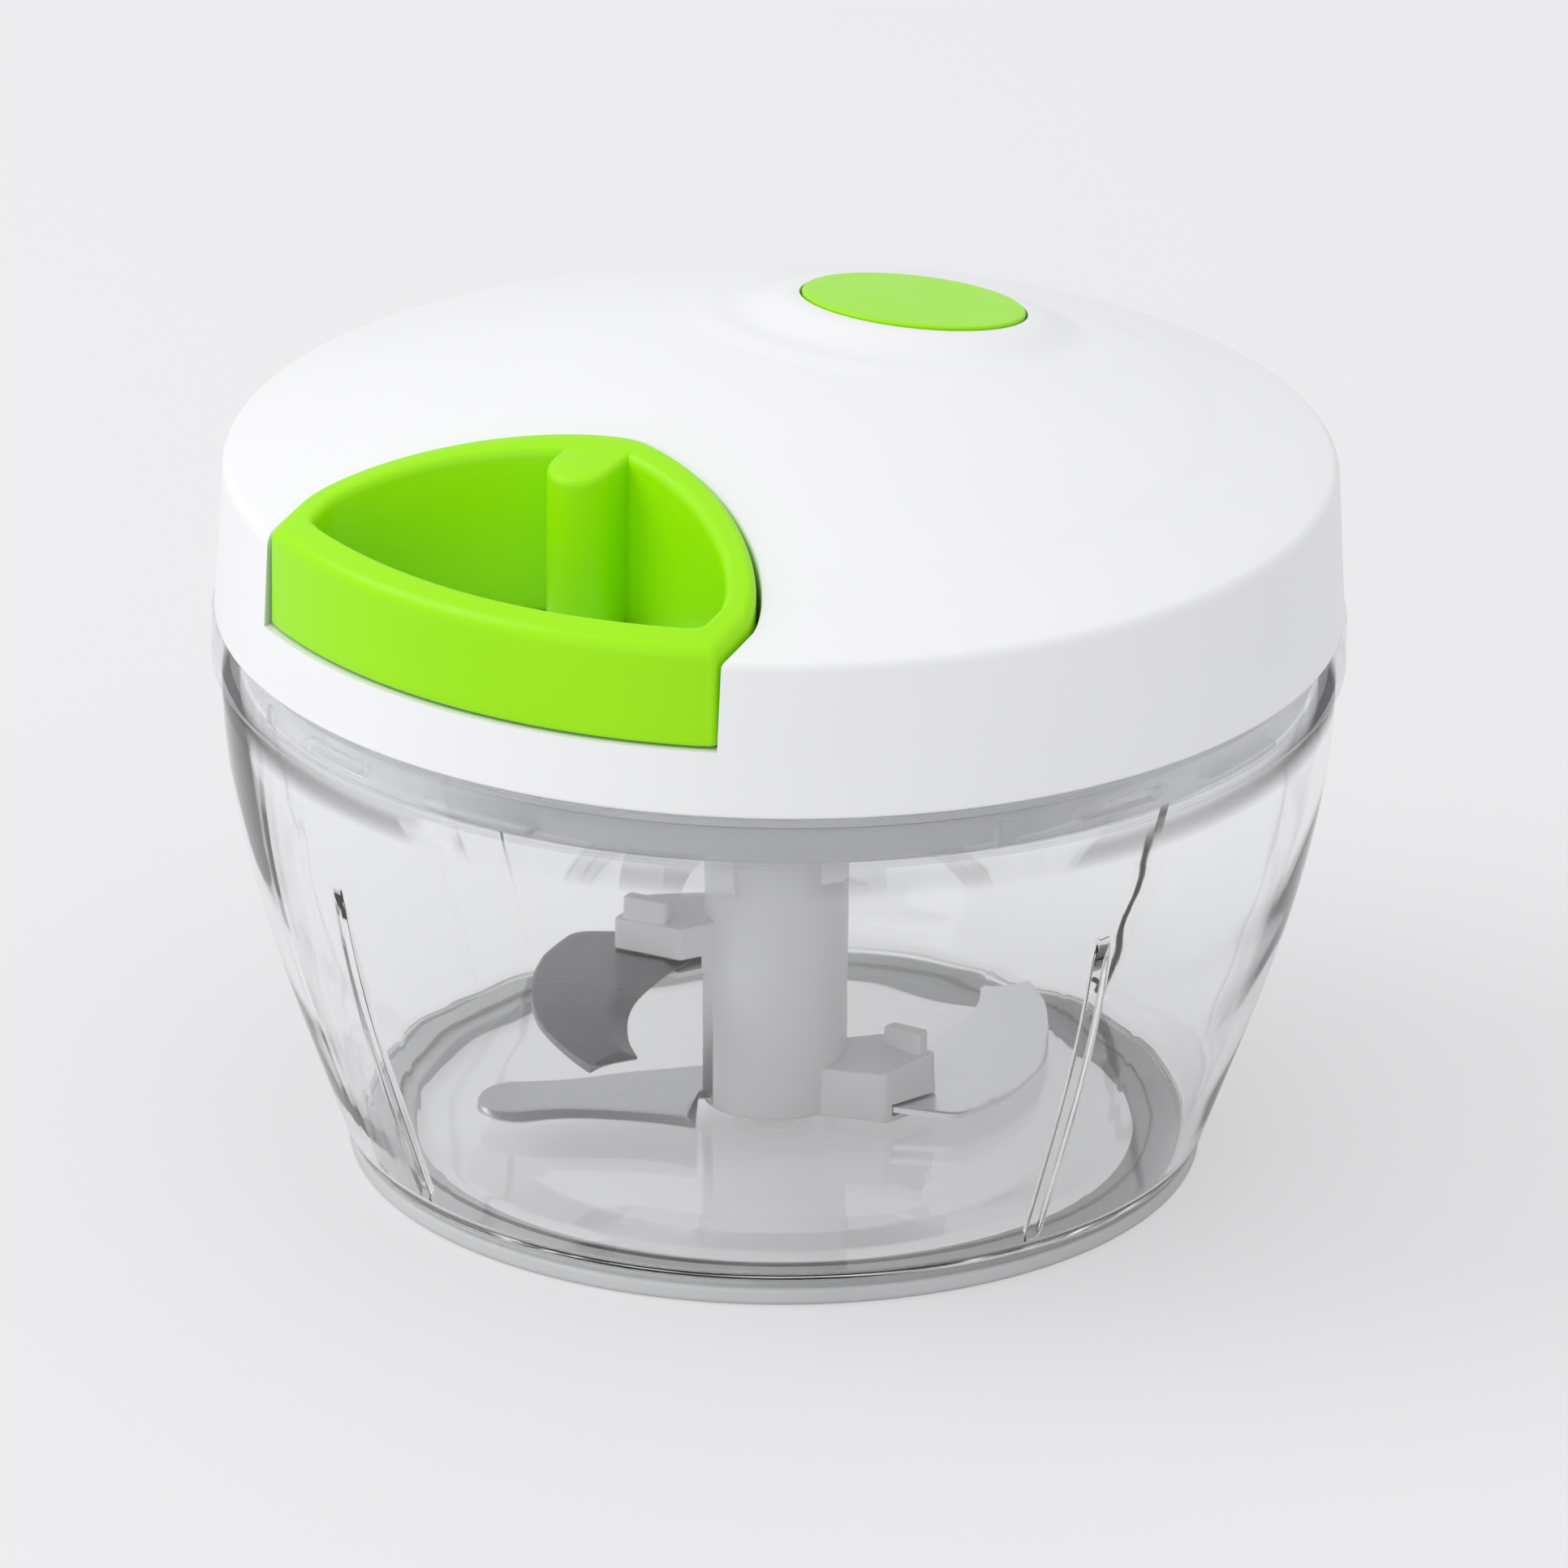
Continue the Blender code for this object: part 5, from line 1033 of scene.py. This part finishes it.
def makeKnot(knot):
    # a trefoil pulled tight: (sin t + 2 sin 2t, cos t - 2 cos 2t, -1.6 sin 3t) / 3, times its size
    t = around(120)
    size = cord["knotRadius"] - cord["diameter"] / 2
    path = np.stack([np.sin(t) + 2 * np.sin(2 * t), np.cos(t) - 2 * np.cos(2 * t), -1.6 * np.sin(3 * t)], -1) / 3
    return addCord("cordKnot", path * size + knot, matrix=frontFrame)


knotCentre = makeCords()
dress(makeKnot(knotCentre), "handle", "cord", "cord_knot")
print("cord made")


# mechanism

def makeDog():
    radius, flange, cavity = 0.0084, 0.0110, 0.0062
    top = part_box("drive_dog")[1].z
    flangeLow, cavityLow = top - 0.0014, top - 0.0042
    bottom = shaft["top"] + fit
    cup = lathe("driveDog", [(0, bottom, 0), (radius, bottom, 0.0005), (radius, flangeLow, 0.0004),
                             (flange, flangeLow, 0.0003), (flange, top, 0.0003), (cavity, top, 0.0002),
                             (cavity, cavityLow, 0.0004), (0, cavityLow, 0)], 96)
    radii = lobed(around(144), driver["core"], driver["lobe"], 0, 0)
    carve(cup, lobedPost("lobes", radii, bottom - driver["length"], (bottom + cavityLow) / 2, 0.0004), "UNION")
    return settle(cup, 35)


dress(makeDog(), "spool", "shaft_plastic", "drive_dog")


def makeScrew(name, node):
    # a pan head with a cross recess: the recess's depth falls off along each arm of the cross
    low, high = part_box(node)
    x, y = (low.x + high.x) / 2, (low.y + high.y) / 2
    head, shank = 0.0028, 0.0014
    seat = low.z + 0.0015
    corners = [(0, low.z, 0), (head - 0.0004, low.z + 0.0002, 0.0008), (head, seat, 0.0001), (shank, seat, 0.0001),
               (shank, high.z - shank, 0.0003), (0, high.z, 0)]
    profile = roundCorners(corners, closed=False)
    face = np.stack([np.linspace(0, head - 0.0012, 16), np.full(16, low.z)], -1)
    profile = np.concatenate([face[:-1], profile[1:]])
    angles = around(96)
    grid = turned(profile, angles)
    px, py, pz = grid[..., 0], grid[..., 1], grid[..., 2]
    arm = np.minimum(np.abs(px), np.abs(py))
    reach = np.maximum(np.abs(px), np.abs(py))
    recess = (1 - smoothStep(arm, 0.00022, 0.00034)) * (1 - smoothStep(reach, 0.0011, 0.0015)) * 0.0009
    centre = (1 - smoothStep(np.hypot(px, py), 0.0003, 0.0006)) * 0.0009
    onFace = np.arange(len(profile))[:, None] < 18
    pz += np.where(onFace, np.maximum(recess, centre), 0)
    turns = np.sin((pz - seat) / 0.0012 * 2 * math.pi - angles)
    thread = (pz > seat + 0.001) & (pz < high.z - 0.0015) & (np.hypot(px, py) > shank * 0.9)
    grid[..., :2] *= np.where(thread, 1 + 0.06 * turns, 1)[..., None]
    return addPiece(name, gridMesh(name, grid, wrapRows=False), Matrix.Translation((x, y, 0)), sharp=40)


for k in range(4):
    dress(makeScrew(f"coverScrew{k + 1}", f"cover_screw_{k + 1}"), "lid", "steel", f"cover_screw_{k + 1}")
dress(makeScrew("spoolScrew", "spool_screw"), "lid", "steel", "spool_screw")


def makeGuide():
    back = handle["back"] - runGap - handle["tubWall"] - fit
    front = handle["back"] - runGap - fit
    bore, tube = cord["guideBore"], cord["guideBore"] + cord["guideWall"]
    flange, thick = tube + cord["guideFlange"], cord["guideFlangeThickness"]
    corners = [(bore, back - thick, 0.0003), (flange, back - thick, 0.0003), (flange, back, 0.0002),
               (tube, back, 0.0001), (tube, front, 0.0004), (bore, front, 0.0004)]
    return lathe("cordGuide", corners, 64, matrix=guideFrame())


dress(makeGuide(), "lid", "steel", "cord_guide")
for node, slotName in (("spool", "shaft_plastic"), ("spring_cover", "shaft_plastic"), ("spool_washer", "steel"),
                       ("mainspring", "spring_steel")):
    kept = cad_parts[node]
    kept.data.materials.clear()
    kept.data.materials.append(finishes[slotName].material)
print("mechanism made")


# studio

def makeFloor():
    # a wide disc, z = 0, in rings that widen outwards
    r = np.concatenate([[0], np.geomspace(0.02, 4.0, 40)])
    grid = turned(np.stack([r, 0 * r], -1), around(96))
    floor = addPiece("floor", gridMesh("floor", grid, wrapRows=False))
    finish = Finish("paleFloor", IOR=1.3)
    cloud = finish.noise(3.0, 2.0)
    colour = finish.mixColour(finish.spread(cloud, 0, 1), (0.80, 0.80, 0.81), (0.785, 0.785, 0.80))
    finish.set(Base_Color=colour, Roughness=finish.spread(finish.noise(9.0), 0.55, 0.65))
    seen, through = (finish.node("LightPath", output=f"Is {kind} Ray") for kind in ("Camera", "Transmission"))
    share = seen.maths("MAXIMUM", seen, through) * 0.5             # half of what is seen is a plain pale tone
    glow = finish.node("Emission", sockets={"Color": (0.88, 0.88, 0.89), "Strength": 1.0})
    mixed = finish.node("MixShader", sockets={0: share, 1: Value(finish, finish.shader.outputs[0]), 2: glow})
    finish.tree.links.new(mixed.socket, finish.tree.nodes["Material Output"].inputs["Surface"])
    floor.data.materials.append(finish.material)
    floor.data.flip_normals()


def addLamp(name, size, energy, azimuth, elevation, distance):
    # an area lamp that faces the lid from a direction
    light = bpy.data.lights.new(name, "AREA")
    light.shape, light.size, light.energy = "DISK", size, energy
    made = bpy.data.objects.new(name, light)
    bpy.context.scene.collection.objects.link(made)
    a, e = math.radians(azimuth), math.radians(elevation)
    turn = Matrix.Rotation(a, 4, "Z") @ Matrix.Rotation(math.pi / 2 - e, 4, "Y")
    made.matrix_world = Matrix.Translation((0, 0, 0.06)) @ turn @ Matrix.Translation((0, 0, distance))


def makeWorld():
    world = bpy.data.worlds.new("studio")
    bpy.context.scene.world = world
    world.use_nodes = True
    back = world.node_tree.nodes["Background"]
    back.inputs["Color"].default_value = (0.98, 0.99, 1.0, 1)
    back.inputs["Strength"].default_value = 0.77


makeFloor()
makeWorld()
addLamp("keyLamp", 1.1, 8.0, 178, 44, 1.6)
addLamp("topLamp", 1.4, 2.5, 250, 75, 1.7)
addLamp("frontLamp", 1.3, 2.6, 240, 16, 1.7)
bpy.context.scene.view_settings.view_transform = "Standard"
print("studio made")
